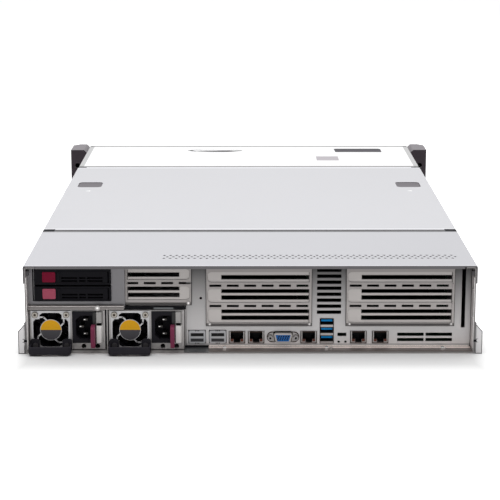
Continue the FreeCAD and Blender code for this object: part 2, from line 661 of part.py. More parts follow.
# ================================================================ rack ears
def make_ear(side):
    """A moulded ear: the rack posts meet its rear face, and two screw holes pass through it."""
    x0, x1 = side * (BODY_W / 2 + FIT), side * EAR_OUT
    depth = EAR_FRONT - EAR_Y
    lean = 6.0
    corners = [(x0, 0.3), (x1, 0.3), (x1, BODY_H), (x0 + side * lean, BODY_H), (x0, BODY_H - lean)]
    ear = plate("XZ", EAR_Y, depth, corners)
    far = [(x1, EAR_FRONT - 9), (x1, EAR_FRONT + 1), (x1 - side * 9, EAR_FRONT + 1)]
    pocket_x = sorted((side * (BODY_W / 2 + EAR_WALL + 1.0), side * (EAR_OUT - EAR_WALL)))
    pocket = block(pocket_x, (EAR_Y + 4.0, EAR_FRONT - 14), (EAR_WALL + 4, BODY_H - EAR_WALL - 6))
    cuts = [plate("XY", -1, BODY_H + 2, far), pocket]
    for z in EIA_HOLE_Z:
        cuts.append(cylinder("XZ", EAR_Y - 1, EAR_FRONT - EAR_Y + 2, side * EIA_HOLE_X, z, EIA_HOLE_R))
    if side < 0:
        well = (EAR_FRONT - BUTTON_WELL, BUTTON_WELL + 1)
        cuts.append(cylinder("XZ", *well, side * POWER_X, POWER_Z, POWER_R + SLIP))
    return ear.cut(cutters(*cuts))


def make_power_button():
    """A round button that is pressed into its well in the ear."""
    return cylinder("XZ", EAR_FRONT - BUTTON_WELL + 2.5, BUTTON_WELL - 2.7, -POWER_X, POWER_Z, POWER_R)


# ================================================================ risers
def riser_frame(x0, x1, z0, slots, tab_side, top_band, dash_start):
    """Face of a riser cage: one opening for each slot, a row of short vents between two slots."""
    y = PANEL_Y - RISER_PROUD
    face = block((x0, x1), (y, PANEL_Y - FIT), (z0, RISER_TOP))
    hollow = block((x0 + PANEL_T, x1 - PANEL_T), (y + PANEL_T, y + RISER_PROUD + 1),
                   (z0 + PANEL_T, RISER_TOP - PANEL_T))
    cuts = [hollow]
    for z in slots:
        tab, plain = (x0, x1) if tab_side < 0 else (x1, x0)
        low, high = z - SLOT_OPEN_H / 2, min(z + SLOT_OPEN_H / 2, RISER_TOP - top_band)
        near, far = tab - tab_side * SLOT_TAB_END, plain + tab_side * SLOT_END
        cuts.append(plate("XZ", y - 1, RISER_PROUD + 1, [(near, low), (far, low), (far, high), (near, high)],
                          [SLOT_TAB_R, 0, 0, SLOT_TAB_R]))
    for z, above in zip(slots, slots[1:]):
        row = (z + above - DASH_H) / 2
        for k in range(int((x1 - x0 - dash_start - DASH_W) // DASH_PITCH) + 1):
            start = x0 + dash_start + k * DASH_PITCH
            cuts.append(block((start, start + DASH_W), (y - 1, y + RISER_PROUD), (row, row + DASH_H)))
    return face.cut(cutters(*cuts))


def riser_arm(x, z0, turn):
    """Upright plate behind a riser face, with a flange along its top; it carries the riser board."""
    y0, top = PANEL_Y - RISER_PROUD + PANEL_T, RISER_TOP - 3.0
    arm = sheet("XZ", y0, RISER_L, [(x, z0), (x, top), (x + turn * 12.0, top)], PANEL_T)
    relief = sorted((x + turn * PANEL_T / 2, x + turn * 13.0))
    return arm.cut(block(relief, (y0 - 1, y0 + BLANK_T + 1.0), (top - 2.0, top + 1.0)))


def make_riser(x0, x1, z0, slots, tab_side, top_band, dash_start):
    """A riser cage: face, arm and the lip under the face."""
    arm_in = RISER_EDGE + PANEL_T / 2
    arm_x = x1 - arm_in if tab_side < 0 else x0 + arm_in
    lip = block((x0 + 4, x1 - 4), (PANEL_Y - RISER_PROUD - 2.0, PANEL_Y - RISER_PROUD + 0.5), (z0, z0 + 1.0))
    arm = riser_arm(arm_x, slots[0] - 8.0, tab_side)
    return fuse(riser_frame(x0, x1, z0, slots, tab_side, top_band, dash_start), arm, lip)


def make_hooks():
    """Hooks on the right edge of riser C, which hang it on the panel."""
    x1, y = RISER_C_X[1] - PANEL_T, PANEL_Y - RISER_PROUD
    middles = [(SLOT_Z[0] + SLOT_Z[1]) / 2, (SLOT_Z[1] + SLOT_Z[2]) / 2, SLOT_Z[1] - SLOT_OPEN_H / 2]
    heights = (HOOK_H[0], HOOK_H[0], HOOK_H[1])
    x, y = (x1 - HOOK_W, x1), (y - 1.0, y + 0.5)
    return [block(x, y, (z - h / 2, z + h / 2)) for z, h in zip(middles, heights)]


def make_blanks():
    """A filler behind every slot opening, with two long vents beside its plain screw tab."""
    blanks = []
    y = PANEL_Y - RISER_PROUD + PANEL_T + BLANK_CLEAR
    beside = RISER_EDGE + PANEL_T + FIT
    places = [(RISER_A_X, SLOT_Z_A, 1, TOP_BAND_A)]
    places += [(x, SLOT_Z, -1, TOP_BAND) for x in (RISER_B_X, RISER_C_X)]
    for (x0, x1), slots, tab_side, top_band in places:
        for z in slots:
            u0, u1 = x0 + PANEL_T + FIT, x1 - PANEL_T - FIT
            if tab_side < 0:
                u1 = x1 - beside
                vents = (x0 + SLOT_TAB, u1 - BLANK_EDGE)
            else:
                u0 = x0 + beside
                vents = (u0 + BLANK_EDGE, x1 - SLOT_TAB_A)
            v1 = min(z + SLOT_OPEN_H / 2, RISER_TOP - top_band) + BLANK_LAP
            holes = []
            for dz in (BLANK_RISE - BLANK_ROW, BLANK_RISE + BLANK_ROW):
                low, high = z + dz - BLANK_SLOT_H / 2, z + dz + BLANK_SLOT_H / 2
                if high < v1 - BLANK_EDGE:
                    holes.append(outline("XZ", y, rectangle(*vents, low, high)))
            corners = rectangle(u0, u1, z - SLOT_OPEN_H / 2 - BLANK_LAP, v1)
            blanks.append(plate("XZ", y, BLANK_T, corners, 0, holes))
    return blanks


def make_riser_boards():
    """A board on each riser arm, with a card socket behind every slot."""
    boards = []
    low_a, low = SLOT_Z_A[0] - RISER_BOARD_LOW[0], SLOT_Z[0] - RISER_BOARD_LOW[1]
    places = [(RISER_A_X[0] + RISER_EDGE + PANEL_T / 2, 1, SLOT_Z_A, low_a)]
    places += [(x1 - RISER_EDGE - PANEL_T / 2, -1, SLOT_Z, low) for x1 in (RISER_B_X[1], RISER_C_X[1])]
    for x, side, slots, bottom in places:
        inner = x + side * (PANEL_T / 2 + FIT)
        outer = inner + side * BOARD_T
        y0, y1 = PANEL_Y + RISER_BOARD_Y[0], PANEL_Y + RISER_BOARD_Y[1]
        top = RISER_TOP - RISER_BOARD_UNDER
        board = block(sorted((inner, outer)), (y0, y1), (bottom, top))
        sockets = []
        for z in slots:
            ends = sorted((outer, outer + side * CARD_SOCKET_D))
            upper = min(z + CARD_SOCKET_H / 2, top)
            sockets.append(block(ends, (y0 + 10.0, y1 - 10.0), (z - CARD_SOCKET_H / 2, upper)))
        boards.append(fuse(board, *sockets))
    return boards


# ================================================================ ports
def make_twin_ports():
    """Two shells, each with two flat openings one above the other."""
    shells = []
    for x in TWIN_X:
        corners = rectangle(x - TWIN_W / 2, x + TWIN_W / 2, PORT_Z0, PORT_Z0 + TWIN_H)
        shell = plate("XZ", PANEL_Y - PORT_OUT, TWIN_L, corners, 2.0)
        across = (x - TWIN_MOUTH_W / 2, x + TWIN_MOUTH_W / 2)
        deep = (PANEL_Y - PORT_OUT - 1, PANEL_Y - PORT_OUT + TWIN_MOUTH_D)
        mouths = [block(across, deep, (PORT_Z0 + z, PORT_Z0 + z + TWIN_MOUTH_H)) for z in TWIN_MOUTH_Z]
        shells.append(shell.cut(cutters(*mouths)))
    return shells


def make_network_jacks():
    """Five jacks with the stepped mouth for the latch of the plug."""
    jacks = []
    for x in RJ_X:
        z = PORT_Z0
        y = PANEL_Y - PORT_OUT
        shell = block((x - RJ_W / 2, x + RJ_W / 2), (y, y + RJ_L), (z, z + RJ_H))
        w, step, (low, shoulder, high) = RJ_MOUTH_HALF, RJ_STEP_HALF, RJ_MOUTH_Z
        mouth = [(x - w, z + shoulder), (x - step, z + shoulder), (x - step, z + low), (x + step, z + low),
                 (x + step, z + shoulder), (x + w, z + shoulder), (x + w, z + high), (x - w, z + high)]
        jacks.append(shell.cut(plate("XZ", y - 1, RJ_MOUTH_D + 1, mouth)))
    return jacks


def make_vga_port():
    """Flange, D-shaped shell and the insert for the contacts."""
    w, h = VGA_FLANGE[0] / 2, VGA_FLANGE[1] / 2
    ends = rectangle(VGA_X - w, VGA_X + w, VGA_Z - h, VGA_Z + h)
    flange = plate("XZ", PANEL_Y - 1.0, 0.9, ends, VGA_FLANGE_R)
    outer = plate("XZ", PANEL_Y - 6.0, 12.0, d_shape(VGA_SHELL_W / 2, VGA_SHELL_H / 2), 1.6)
    mouth = d_shape(VGA_SHELL_W / 2 - VGA_RIM, VGA_SHELL_H / 2 - VGA_RIM)
    inner = plate("XZ", PANEL_Y - 7.0, 14.0, mouth)
    insert = plate("XZ", PANEL_Y - 5.2, 16.0, mouth)
    places = [VGA_X + side * VGA_SCREW_SPAN / 2 for side in (-1, 1)]
    sides = [cylinder("XZ", PANEL_Y - 2, 3, x, VGA_Z, VGA_SCREW_R) for x in places]
    return [fuse(flange, outer).cut(cutters(inner, *sides)), insert]


def make_usb_ports():
    """Three openings one above the other in one shell, each with its contact tongue."""
    x0, x1 = USB_X - USB_W / 2, USB_X + USB_W / 2
    shell = block((x0, x1), (PANEL_Y - 1.2, PANEL_Y + 20), (PORT_Z0, PORT_Z0 + USB_H))
    mouths, tongues = [], []
    for k in range(3):
        z = PORT_Z0 + 2.6 + k * USB_PITCH
        mouths.append(block((x0 + 0.6, x1 - 0.6), (PANEL_Y - 2, PANEL_Y + 11), (z, z + 5.2)))
        tongues.append(block((x0 + 1.3, x1 - 1.3), (PANEL_Y + 0.2, PANEL_Y + 11), (z + 2.6, z + 4.5)))
    return [shell.cut(cutters(*mouths))] + tongues


def pan_head(x, y, z, r=SCREW_HEAD_R, h=SCREW_HEAD_H):
    """A screw head that stands on the plane y and faces the rear."""
    return extrude("XZ", y - h, h, polygon_wire("XZ", y - h, x, z, r, SCREW_FACETS))


def make_panel_screws():
    """Hexagonal jack screws, screws of the risers and the drive cage, rivets of the foot flange."""
    screws = []
    for side in (-1, 1):
        x = VGA_X + side * VGA_SCREW_SPAN / 2
        wires = [polygon_wire("XZ", PANEL_Y - 6.2, x, VGA_Z, r, 6) for r in (2.7, 1.3)]
        screws.append(extrude("XZ", PANEL_Y - 6.2, 5.1, wires[0], wires[1:]))
    face = PANEL_Y - RISER_PROUD - 0.05
    for x in (RISER_B_X[0] + 3.2, RISER_B_X[1] - 2.0, RISER_C_X[0] + 3.2, RISER_C_X[1] - 2.6):
        screws.append(pan_head(x, face, RISER_Z0 + 2.0, 1.4, 1.0))
    screws.append(pan_head(RISER_A_X[1] - 2.6, face, RISER_A_Z0 + 2.2, 1.8, 1.4))
    lip = CAGE_Y[0] - LIP_REACH - 0.05
    screws.append(pan_head(CAGE_X[0] + CAGE_SCREW_X, lip, CAGE_Z[0] + 1.8, SCREW_HEAD_R, 1.8))
    ledge = SHEET + FIT + PANEL_T + 0.05
    for x in LEDGE_RIVET_AT:
        wire = polygon_wire("XY", ledge, PANEL_X0 + x, PANEL_Y / 2, 1.6, SCREW_FACETS)
        screws.append(extrude("XY", ledge, 0.7, wire))
    return screws


# ================================================================ fans
def round_block(w, depth, u, v, r):
    """A disc or a bore of a fan, along Y, with a few flat sides because the fans repeat."""
    return extrude("XZ", w, depth, polygon_wire("XZ", w, u, v, r, FAN_FACETS))


def make_rotor(x, z, y0, length, hub_r, tip_r, count, chord, pitch, pin_r):
    """Hub and cambered blades, set at a pitch to the air stream; the hub turns on a pin."""
    hub = round_block(y0, length, x, z, hub_r).cut(cylinder("XZ", y0 + 2.0, length, x, z, pin_r + PIN_CLEAR))
    c, s = math.cos(math.radians(pitch)), math.sin(math.radians(pitch))
    section = [(-0.5, -0.02), (0.0, 0.1), (0.5, 0.0), (0.0, 0.03)]
    points = [((u * c - v * s) * chord, y0 + length / 2 + (u * s + v * c) * chord) for u, v in section]
    blades = []
    for k in range(count):
        blade = plate("XY", hub_r - 1.5, tip_r - hub_r + 1.5, points)
        blade.rotate(V(0, 0, 0), V(0, 1, 0), 360.0 * k / count)
        blade.translate(V(x, 0, z))
        blades.append(blade)
    return fuse(hub, *blades)


def make_fan_frame(x, z, y0, size, depth, bore_r, hub_r, base_y, pin_r, pin_l):
    """A square fan frame; four struts hold the motor base, and its pin carries the rotor."""
    frame = block((x - size / 2, x + size / 2), (y0, y0 + depth), (z - size / 2, z + size / 2))
    frame = frame.cut(round_block(y0 - 1, depth + 2, x, z, bore_r))
    bars = []
    for k in range(4):
        bar = block((hub_r * 0.5, bore_r + 0.8), (base_y, base_y + MOTOR_T), (-1.0, 1.0))
        bar.rotate(V(0, 0, 0), V(0, 1, 0), 45 + 90 * k)
        bar.translate(V(x, 0, z))
        bars.append(bar)
    base = round_block(base_y, MOTOR_T, x, z, hub_r)
    pin = cylinder("XZ", base_y - pin_l, pin_l + 0.5, x, z, pin_r)
    return fuse(frame, *bars, base, pin)


# ================================================================ power supply
def make_psu_case(x0):
    """Steel case with a fan behind a square opening; a card edge stands out of its inner end."""
    fan_x, fan_z = x0 + FAN_X, PSU_Z + FAN_Z
    outer = block((x0, x0 + PSU_W), (PSU_Y, PSU_Y + PSU_L), (PSU_Z, PSU_TOP))
    inner = block((x0 + PSU_WALL, x0 + PSU_W - PSU_WALL), (PSU_Y + PSU_WALL, PSU_Y + PSU_L - PSU_WALL),
                  (PSU_Z + PSU_WALL, PSU_TOP - PSU_WALL))
    through = (PSU_Y - 1, PSU_Y + PSU_WALL + 1)
    half = GUARD_HALF - 0.6
    body_x, body_z = inlet_body(x0, 0.2)
    leg_x, notch_z = x0 + LATCH_LEG_X, PSU_Z + LATCH_Z[1]
    cuts = [inner, block((fan_x - half, fan_x + half), through, (fan_z - half, fan_z + half)),
            block(body_x, through, body_z),
            block((leg_x - LATCH_TRAVEL - 0.8, leg_x + 0.6), through, (PSU_Z + 7, PSU_Z + 21)),
            block((leg_x, x0 + SPRING_X[1] - 1.0), through, (notch_z - 1.4, notch_z + 1.8))]
    for x in STATUS_HOLES:
        cuts.append(cylinder("XZ", PSU_Y - 1, 4, x0 + x, PSU_Z + STATUS_Z, STATUS_R))
    shell = outer.cut(cutters(*cuts))
    fan = make_fan_frame(fan_x, fan_z, PSU_Y + PSU_WALL + PSU_FAN_GAP, 2 * GUARD_HALF - 0.6, FAN_DEPTH,
                         FAN_BORE_R, FAN_HUB_R, PSU_Y + ROTOR_SET + ROTOR_L + MOTOR_GAP, PIN_R, PIN_L)
    y1 = PSU_Y + PSU_L
    tongue = block((x0 + TONGUE_X[0], x0 + TONGUE_X[1]), (y1 - 2, y1 + TONGUE_L),
                   (PSU_Z + TONGUE_Z, PSU_Z + TONGUE_Z + BOARD_T))
    return [fuse(shell, tongue), fan]


def make_psu_guard(x0):
    """Finger guard: a rim, four arms and a round disc; four screws hold it to the fan."""
    fan_x, fan_z = x0 + FAN_X, PSU_Z + FAN_Z
    y = PSU_Y - FIT - GUARD_T
    arm, edge = GUARD_ARM * math.sqrt(0.5), GUARD_HALF - GUARD_RIM
    reach = math.pi / 4 - math.asin(GUARD_ARM / 2 / GUARD_DISC_R)
    turns = [step * reach for step in (-1, -0.5, 0, 0.5, 1)]
    window = [(GUARD_DISC_R * math.sin(a), GUARD_DISC_R * math.cos(a)) for a in turns]
    inner = GUARD_PAD + arm
    window += [(GUARD_PAD, inner), (GUARD_PAD, edge), (-GUARD_PAD, edge), (-GUARD_PAD, inner)]
    windows = []
    for c, s in ((1, 0), (0, 1), (-1, 0), (0, -1)):
        windows.append(outline("XZ", y, [(fan_x + u * c - v * s, fan_z + u * s + v * c) for u, v in window]))
    square = rectangle(fan_x - GUARD_HALF, fan_x + GUARD_HALF, fan_z - GUARD_HALF, fan_z + GUARD_HALF)
    solids = [plate("XZ", y, GUARD_T, square, 0, windows)]
    for side in (-1, 1):
        solids.append(pan_head(fan_x + side * FAN_SCREW, y - 0.05, fan_z + FAN_SCREW))
        solids.append(pan_head(fan_x + side * FAN_SCREW, y - HANDLE_FOOT_T - 0.1, fan_z - FAN_SCREW))
    return solids


def make_psu_handle(x0):
    """Bail handle: bar, thin web, two ribs, and two feet that the lower fan screws hold."""
    x, z = x0 + FAN_X, PSU_Z + 0.2
    bar_z = z + HANDLE_LIFT
    back = PSU_Y - FIT - GUARD_T - 0.05
    front = PSU_Y - HANDLE_REACH
    start, end = front + HANDLE_BAR - 1, front + HANDLE_BAR
    bar = plate("XY", bar_z, HANDLE_H, rectangle(x - HANDLE_HALF, x + HANDLE_HALF, front, front + HANDLE_BAR),
                [4.0, 4.0, 0, 0])
    half, gap = HANDLE_HALF, HANDLE_GAP
    outer = [(x - half, back), (x - half, start), (x + half, start), (x + half, back)]
    inner = [(x + gap, back), (x + gap, end), (x - gap, end), (x - gap, back)]
    parts = [plate("XY", z, HANDLE_WEB, outer + inner, [0, 0, 0, 0, 0, 3.0, 3.0, 0])]
    for side in (-1, 1):
        rib = sorted((x + side * (HANDLE_HALF - HANDLE_RIB), x + side * HANDLE_HALF))
        parts.append(block(rib, (start, back), (z, bar_z + HANDLE_H)))
        foot = sorted((x + side * HANDLE_GAP, x + side * HANDLE_HALF))
        corners = rectangle(*foot, z, PSU_Z + HANDLE_FOOT_H)
        parts.append(plate("XZ", back - HANDLE_FOOT_T, HANDLE_FOOT_T, corners, [0, 0, 3.0, 3.0]))
    return fuse(bar, *parts)


def inlet_body(x0, grow):
    """Extent across and up of the inlet body that passes through the case."""
    return ((x0 + INLET_X[0] + 1.0 - grow, x0 + INLET_X[1] - 0.6 + grow),
            (PSU_Z + INLET_Z[0] + 1.6 - grow, PSU_Z + INLET_Z[1] - 1.6 + grow))


def make_psu_inlet(x0):
    """Mains inlet turned on its side, with three blades at the bottom of its mouth."""
    front = PSU_Y - 1.6
    x, z = (x0 + INLET_X[0], x0 + INLET_X[1]), (PSU_Z + INLET_Z[0], PSU_Z + INLET_Z[1])
    flange = block(x, (front, front + 1.5), z)
    body = block(inlet_body(x0, 0)[0], (PSU_Y - 0.5, front + INLET_DEPTH + 3.0), inlet_body(x0, 0)[1])
    (m0, m1), (n0, n1) = INLET_MOUTH_X, INLET_MOUTH_Z
    cut = 4.6
    mouth = [(x0 + m0, PSU_Z + n0 + cut), (x0 + m0 + cut, PSU_Z + n0), (x0 + m1, PSU_Z + n0),
             (x0 + m1, PSU_Z + n1), (x0 + m0 + cut, PSU_Z + n1), (x0 + m0, PSU_Z + n1 - cut)]
    shell = fuse(flange, body).cut(plate("XZ", front - 1, INLET_DEPTH + 1, mouth))
    middle = PSU_Z + (n0 + n1) / 2
    pins = []
    for x, z in ((5.2, 0), (9.2, -7.0), (9.2, 7.0)):
        centre = x0 + m0 + x
        pins.append(block((centre - 2.0, centre + 2.0), (front + INLET_PIN_SET, front + INLET_DEPTH),
                          (middle + z - 1.0, middle + z + 1.0)))
    return [shell] + pins


def make_psu_latch(x0):
    """Release latch: a grip on a bent spring plate whose leg reaches into the case."""
    u0, u1 = x0 + LATCH_X[0], x0 + LATCH_X[1]
    z0, z1 = PSU_Z + LATCH_Z[0], PSU_Z + LATCH_Z[1]
    back = PSU_Y - 2.8
    grip = plate("YZ", u0, u1 - u0, rectangle(PSU_Y - LATCH_REACH, back, z0, z1), [2.5, 0, 0, 4.0])
    y = back + 0.05 + SPRING_T / 2
    x1 = x0 + SPRING_X[1]
    path = [(u0 + 1.4, y), (x1 - 1.6, y), (x1, y + 1.5)]
    spring = sheet("XY", PSU_Z + SPRING_Z[0], SPRING_Z[1] - SPRING_Z[0], path, SPRING_T, 0.4)
    leg_x = x0 + LATCH_LEG_X
    spring = spring.cut(block((leg_x + 0.4, x1 - 1.0), (y - 2, y + 2), (z1 - 1.2, z1 + 1.6)))
    leg = block((leg_x - 0.4, leg_x + 0.2), (y, PSU_Y + 5.0), (PSU_Z + 8.0, PSU_Z + 20.0))
    return [grip, fuse(spring, leg)]


# ================================================================ rear drives
def make_rear_cage():
    """Sheet steel cage over the power supplies: a mouth for two bays, a plain part and a rolled lip."""
    (x0, x1), (y0, y1), (z0, z1) = CAGE_X, CAGE_Y, CAGE_Z
    t = PANEL_T
    shell = block((x0, x1), (y0, y1), (z0, z1))
    hollow = block((x0 + t, x1 - t), (y0 + t, y1 + 1), (z0 + t, z1 - t))
    mouth = block((BAY_X0 - BAY_BESIDE, BAY_X0 + BAY_W), (y0 - 1, y0 + 2), (BAY_Z[0], BAY_Z[1] + BAY_H))
    left, right, behind = BAY_X0 - FIT - t, BAY_X0 + BAY_W + FIT, y0 + SHELF_SET
    shelves = [block((left, right + t), (behind, y1), (z - t, z - 0.02)) for z in BAY_Z]
    walls = [block((x, x + t), (behind, y1), (z0 + t / 2, z1 - t / 2)) for x in (left, right)]
    lip_y, fold = y0 - LIP_REACH + 0.4, z0 + LIP_H - 0.9
    lip = sheet("YZ", x0 + 0.6, x1 - x0 - 1.2, [(y0 + 0.5, fold), (lip_y, fold), (lip_y, z0)], 0.8, 1.6)
    return fuse(shell.cut(cutters(hollow, mouth)), *shelves, *walls, lip)


def make_rear_carrier(z):
    """Drive carrier: a moulded front with room for lever and button, a tray, and the drive in it."""
    x0, x1 = BAY_X0 + CARRIER_CLEAR, BAY_X0 + BAY_W - CARRIER_CLEAR
    z0, z1 = z + CARRIER_CLEAR, z + BAY_H - CARRIER_CLEAR
    y, gap = CARRIER_FACE_Y, CARRIER_CLEAR
    bezel = block((x0, x1), (y, y + CARRIER_BEZEL), (z0, z1))
    pocket = block((x0 + LEVER_X[0] - 0.4, x0 + LEVER_X[1] + 0.8), (y - 1, y + LEVER_T + 0.5),
                   (z0 + LEVER_Z[0] - gap, z0 + LEVER_Z[1] + gap))
    across = (x0 + BUTTON_X - gap, x0 + BUTTON_X + BUTTON_W + gap)
    deep = (y - 1, y + BUTTON_Y[1] + BUTTON_TRAVEL + gap)
    well = block(across, deep, (z0 + BUTTON_Z[0] - gap, z0 + BUTTON_Z[1] + gap))
    bore = cylinder("XY", z0 + LEVER_Z[0] - 1.2, LEVER_Z[1] - LEVER_Z[0] + 2.3, x0 + LEVER_PIN_X,
                    y + LEVER_T / 2 + 0.1, LEVER_PIN_R + PIN_CLEAR)
    bezel = bezel.cut(cutters(pocket, well, bore))
    back = y + CARRIER_BEZEL
    along = (back - 1, y + CARRIER_L)
    tray = block((x0 + 0.5, x1 - 0.5), along, (z0, z0 + 1.0))
    rails = [block(x, along, (z0, z0 + DRIVE_H - 0.5)) for x in ((x0 + 0.5, x0 + 1.7), (x1 - 1.7, x1 - 0.5))]
    middle = (x0 + x1) / 2
    drive = block((middle - DRIVE_W / 2, middle + DRIVE_W / 2), (back + 3, back + 3 + DRIVE_L),
                  (z0 + 1.05, z0 + 1.05 + DRIVE_H))
    return [fuse(bezel, tray, *rails), drive]


def make_rear_lever(z):
    """Release lever: louvred plate, rounded round its pin, with a finger grip at the free end."""
    x0, z0, y = BAY_X0 + CARRIER_CLEAR, z + CARRIER_CLEAR, CARRIER_FACE_Y + 0.1
    u0, pin_x, (v0, v1) = x0 + LEVER_X[0], x0 + LEVER_PIN_X, LEVER_Z
    body = block((u0, pin_x), (y, y + LEVER_T), (z0 + v0, z0 + v1))
    end = cylinder("XY", z0 + v0, v1 - v0, pin_x, y + LEVER_T / 2, LEVER_T / 2)
    grip = block((u0, u0 + 2.4), (y - 1.0, y + 1), (z0 + v0, z0 + v1))
    pin = cylinder("XY", z0 + v0 - 1.0, v1 - v0 + 2.0, pin_x, y + LEVER_T / 2, LEVER_PIN_R)
    slots = []
    for share in LEVER_SLOT_Z:
        low = z0 + v0 + share * (v1 - v0)
        for a, b in LEVER_SLOT_X:
            slots.append(block((u0 + a, u0 + b), (y - 2, y + 5), (low, low + LEVER_SLOT_H * (v1 - v0))))
    return fuse(body, end, grip, pin).cut(cutters(*slots))


def make_rear_button(z):
    x, z0, y = BAY_X0 + CARRIER_CLEAR + BUTTON_X, z + CARRIER_CLEAR, CARRIER_FACE_Y
    corners = rectangle(x, x + BUTTON_W, z0 + BUTTON_Z[0], z0 + BUTTON_Z[1])
    return plate("XZ", y + BUTTON_Y[0], BUTTON_Y[1] - BUTTON_Y[0], corners, 1.0)


# ================================================================ front bays
def front_columns():
    half = INNER_X - CAGE_CLEAR - FRONT_WALL / 2
    return [2 * half * k / FRONT_BAYS - half for k in range(FRONT_BAYS + 1)]


def make_front_cage():
    """Shelves, dividers and a slotted panel over the bays."""
    half, t = INNER_X - CAGE_CLEAR, FRONT_WALL
    y, low, high = (FRONT_CAGE_Y, BODY_L - 1.0), FRONT_SHELF_Z[0], FRONT_SHELF_Z[2]
    shelves = [block((-half, half), y, (z, z + t)) for z in FRONT_SHELF_Z]
    walls = [block((x - t / 2, x + t / 2), y, (low, high + 1)) for x in front_columns()]
    top = PANEL_TOP - t
    face = block((-half, half), (BODY_L - 1.0 - t, BODY_L - 1.0), (high, top))
    step = (top - high - FRONT_VENT_EDGE) / 2
    cuts = []
    for k in range(FRONT_VENTS):
        x = (k - (FRONT_VENTS - 1) / 2) * FRONT_VENT_PITCH
        for row in range(2):
            z = high + FRONT_VENT_UP + row * step
            across = (x - FRONT_VENT_W / 2, x + FRONT_VENT_W / 2)
            cuts.append(block(across, (BODY_L - 5, BODY_L + 1), (z, z + step / 2)))
    return fuse(shelves[0], *shelves[1:], *walls, face.cut(cutters(*cuts)))


def front_bezel(x0, x1, z0, z1):
    """A moulded front, hollow behind, with slanted ends."""
    y0, y1 = BODY_L + 0.2, BODY_L + FRONT_FACE
    slant = 3.0
    corners = [(x0, y0), (x1, y0), (x1, y1 - slant), (x1 - slant, y1), (x0 + slant, y1), (x0, y1 - slant)]
    front = plate("XY", z0, z1 - z0, corners)
    return front.cut(block((x0 + 2, x1 - 2), (y0 - 1, y1 - 5), (z0 + 2, z1 - 2)))


def make_drive_blanks():
    """Fillers in the upper front bays: a moulded front with air slots on a box that fits the bay."""
    blanks = []
    columns = front_columns()
    for x0, x1 in zip(columns, columns[1:]):
        u0, u1 = x0 + FRONT_WALL / 2 + 0.5, x1 - FRONT_WALL / 2 - 0.5
        z0 = FRONT_SHELF_Z[1] + FRONT_WALL + 0.3
        front = front_bezel(u0, u1, z0, z0 + FRONT_BAY_H - 1.0)
        cuts = []
        for k in range(4):
            z = z0 + 4.0 + k * LOUVRE_PITCH
            cuts.append(block((u0 + 8, u1 - 8), (BODY_L, EAR_FRONT + 2), (z, z + LOUVRE_H)))
        box = block((u0 + 3, u1 - 3), (BODY_L - FRONT_BLANK_L, BODY_L + 2), (z0, z0 + FRONT_WALL))
        blanks.append(fuse(front, box).cut(cutters(*cuts)))
    return blanks


def make_front_carrier(k):
    """Carrier for a large drive: a moulded front with a pocket for its lever, a tray and the drive."""
    columns = front_columns()
    x0, x1 = columns[k] + FRONT_WALL / 2 + 0.5, columns[k + 1] - FRONT_WALL / 2 - 0.5
    z0 = FRONT_SHELF_Z[0] + FRONT_WALL + 0.2
    z1 = z0 + FRONT_BAY_H - 0.6
    front = front_bezel(x0, x1, z0, z1)
    middle = (x0 + x1) / 2
    y1 = BODY_L + FRONT_FACE
    half, edge = FRONT_LEVER_W / 2 + 0.5, FRONT_LEVER_Z - 0.4
    pocket = block((middle - half, middle + half), (y1 - FRONT_LEVER_T - 0.5, y1 + 1), (z0 + edge, z1 - edge))
    front = front.cut(pocket)
    w, length, h = FRONT_DRIVE
    tray = block((x0, x1), (BODY_L - 5 - length, BODY_L + 2), (z0, z0 + FRONT_WALL))
    low = z0 + FRONT_WALL + 0.05
    drive = block((middle - w / 2, middle + w / 2), (BODY_L - 2 - length, BODY_L - 2), (low, low + h))
    return [fuse(front, tray), drive]


def make_front_lever(k):
    """Lever of a front carrier, rounded at its hinged end, with three air slots."""
    columns = front_columns()
    middle, r = (columns[k] + columns[k + 1]) / 2, FRONT_LEVER_T / 2
    z0 = FRONT_SHELF_Z[0] + FRONT_WALL + 0.2 + FRONT_LEVER_Z
    height = FRONT_BAY_H - 0.6 - 2 * FRONT_LEVER_Z
    y1 = BODY_L + FRONT_FACE
    x0, x1 = middle - FRONT_LEVER_W / 2, middle + FRONT_LEVER_W / 2
    body = block((x0 + r, x1), (y1 - FRONT_LEVER_T, y1), (z0, z0 + height))
    end = cylinder("XY", z0, height, x0 + r, y1 - r, r)
    slots = []
    for row in range(3):
        z = z0 + 3.1 + row * (height - 2 * LOUVRE_H) / 3
        slots.append(block((x0 + 8, x1 - 8), (y1 - 5, y1 + 1), (z, z + 2.0)))
    return fuse(body, end).cut(cutters(*slots))


# ================================================================ inside
def make_system_board():
    """Main board on the floor, with the sockets that the power supplies plug into."""
    edge = BAY_Y[1] + 3.5
    corners = [(PANEL_X0 + 2, BOARD_Y0), (INNER_X - 4, BOARD_Y0), (INNER_X - 4, BOARD_Y1),
               (4 - INNER_X, BOARD_Y1), (4 - INNER_X, edge), (PANEL_X0 + 2, edge)]
    board = plate("XY", BOARD_Z, BOARD_T, corners)
    extras = []
    y0 = PSU_Y + PSU_L + 0.8
    for x0 in PSU_X:
        x, z = (x0 + TONGUE_X[0], x0 + TONGUE_X[1]), PSU_Z + TONGUE_Z
        socket = block((x[0] - 3, x[1] + 3), (y0, y0 + TONGUE_L + 8), (BOARD_TOP - 0.5, z + 9))
        mouth = block((x[0] - 0.4, x[1] + 0.4), (y0 - 1, y0 + TONGUE_L + 1), (z - 0.3, z + BOARD_T + 0.3))
        extras.append(socket.cut(mouth))
    return fuse(board, *extras)


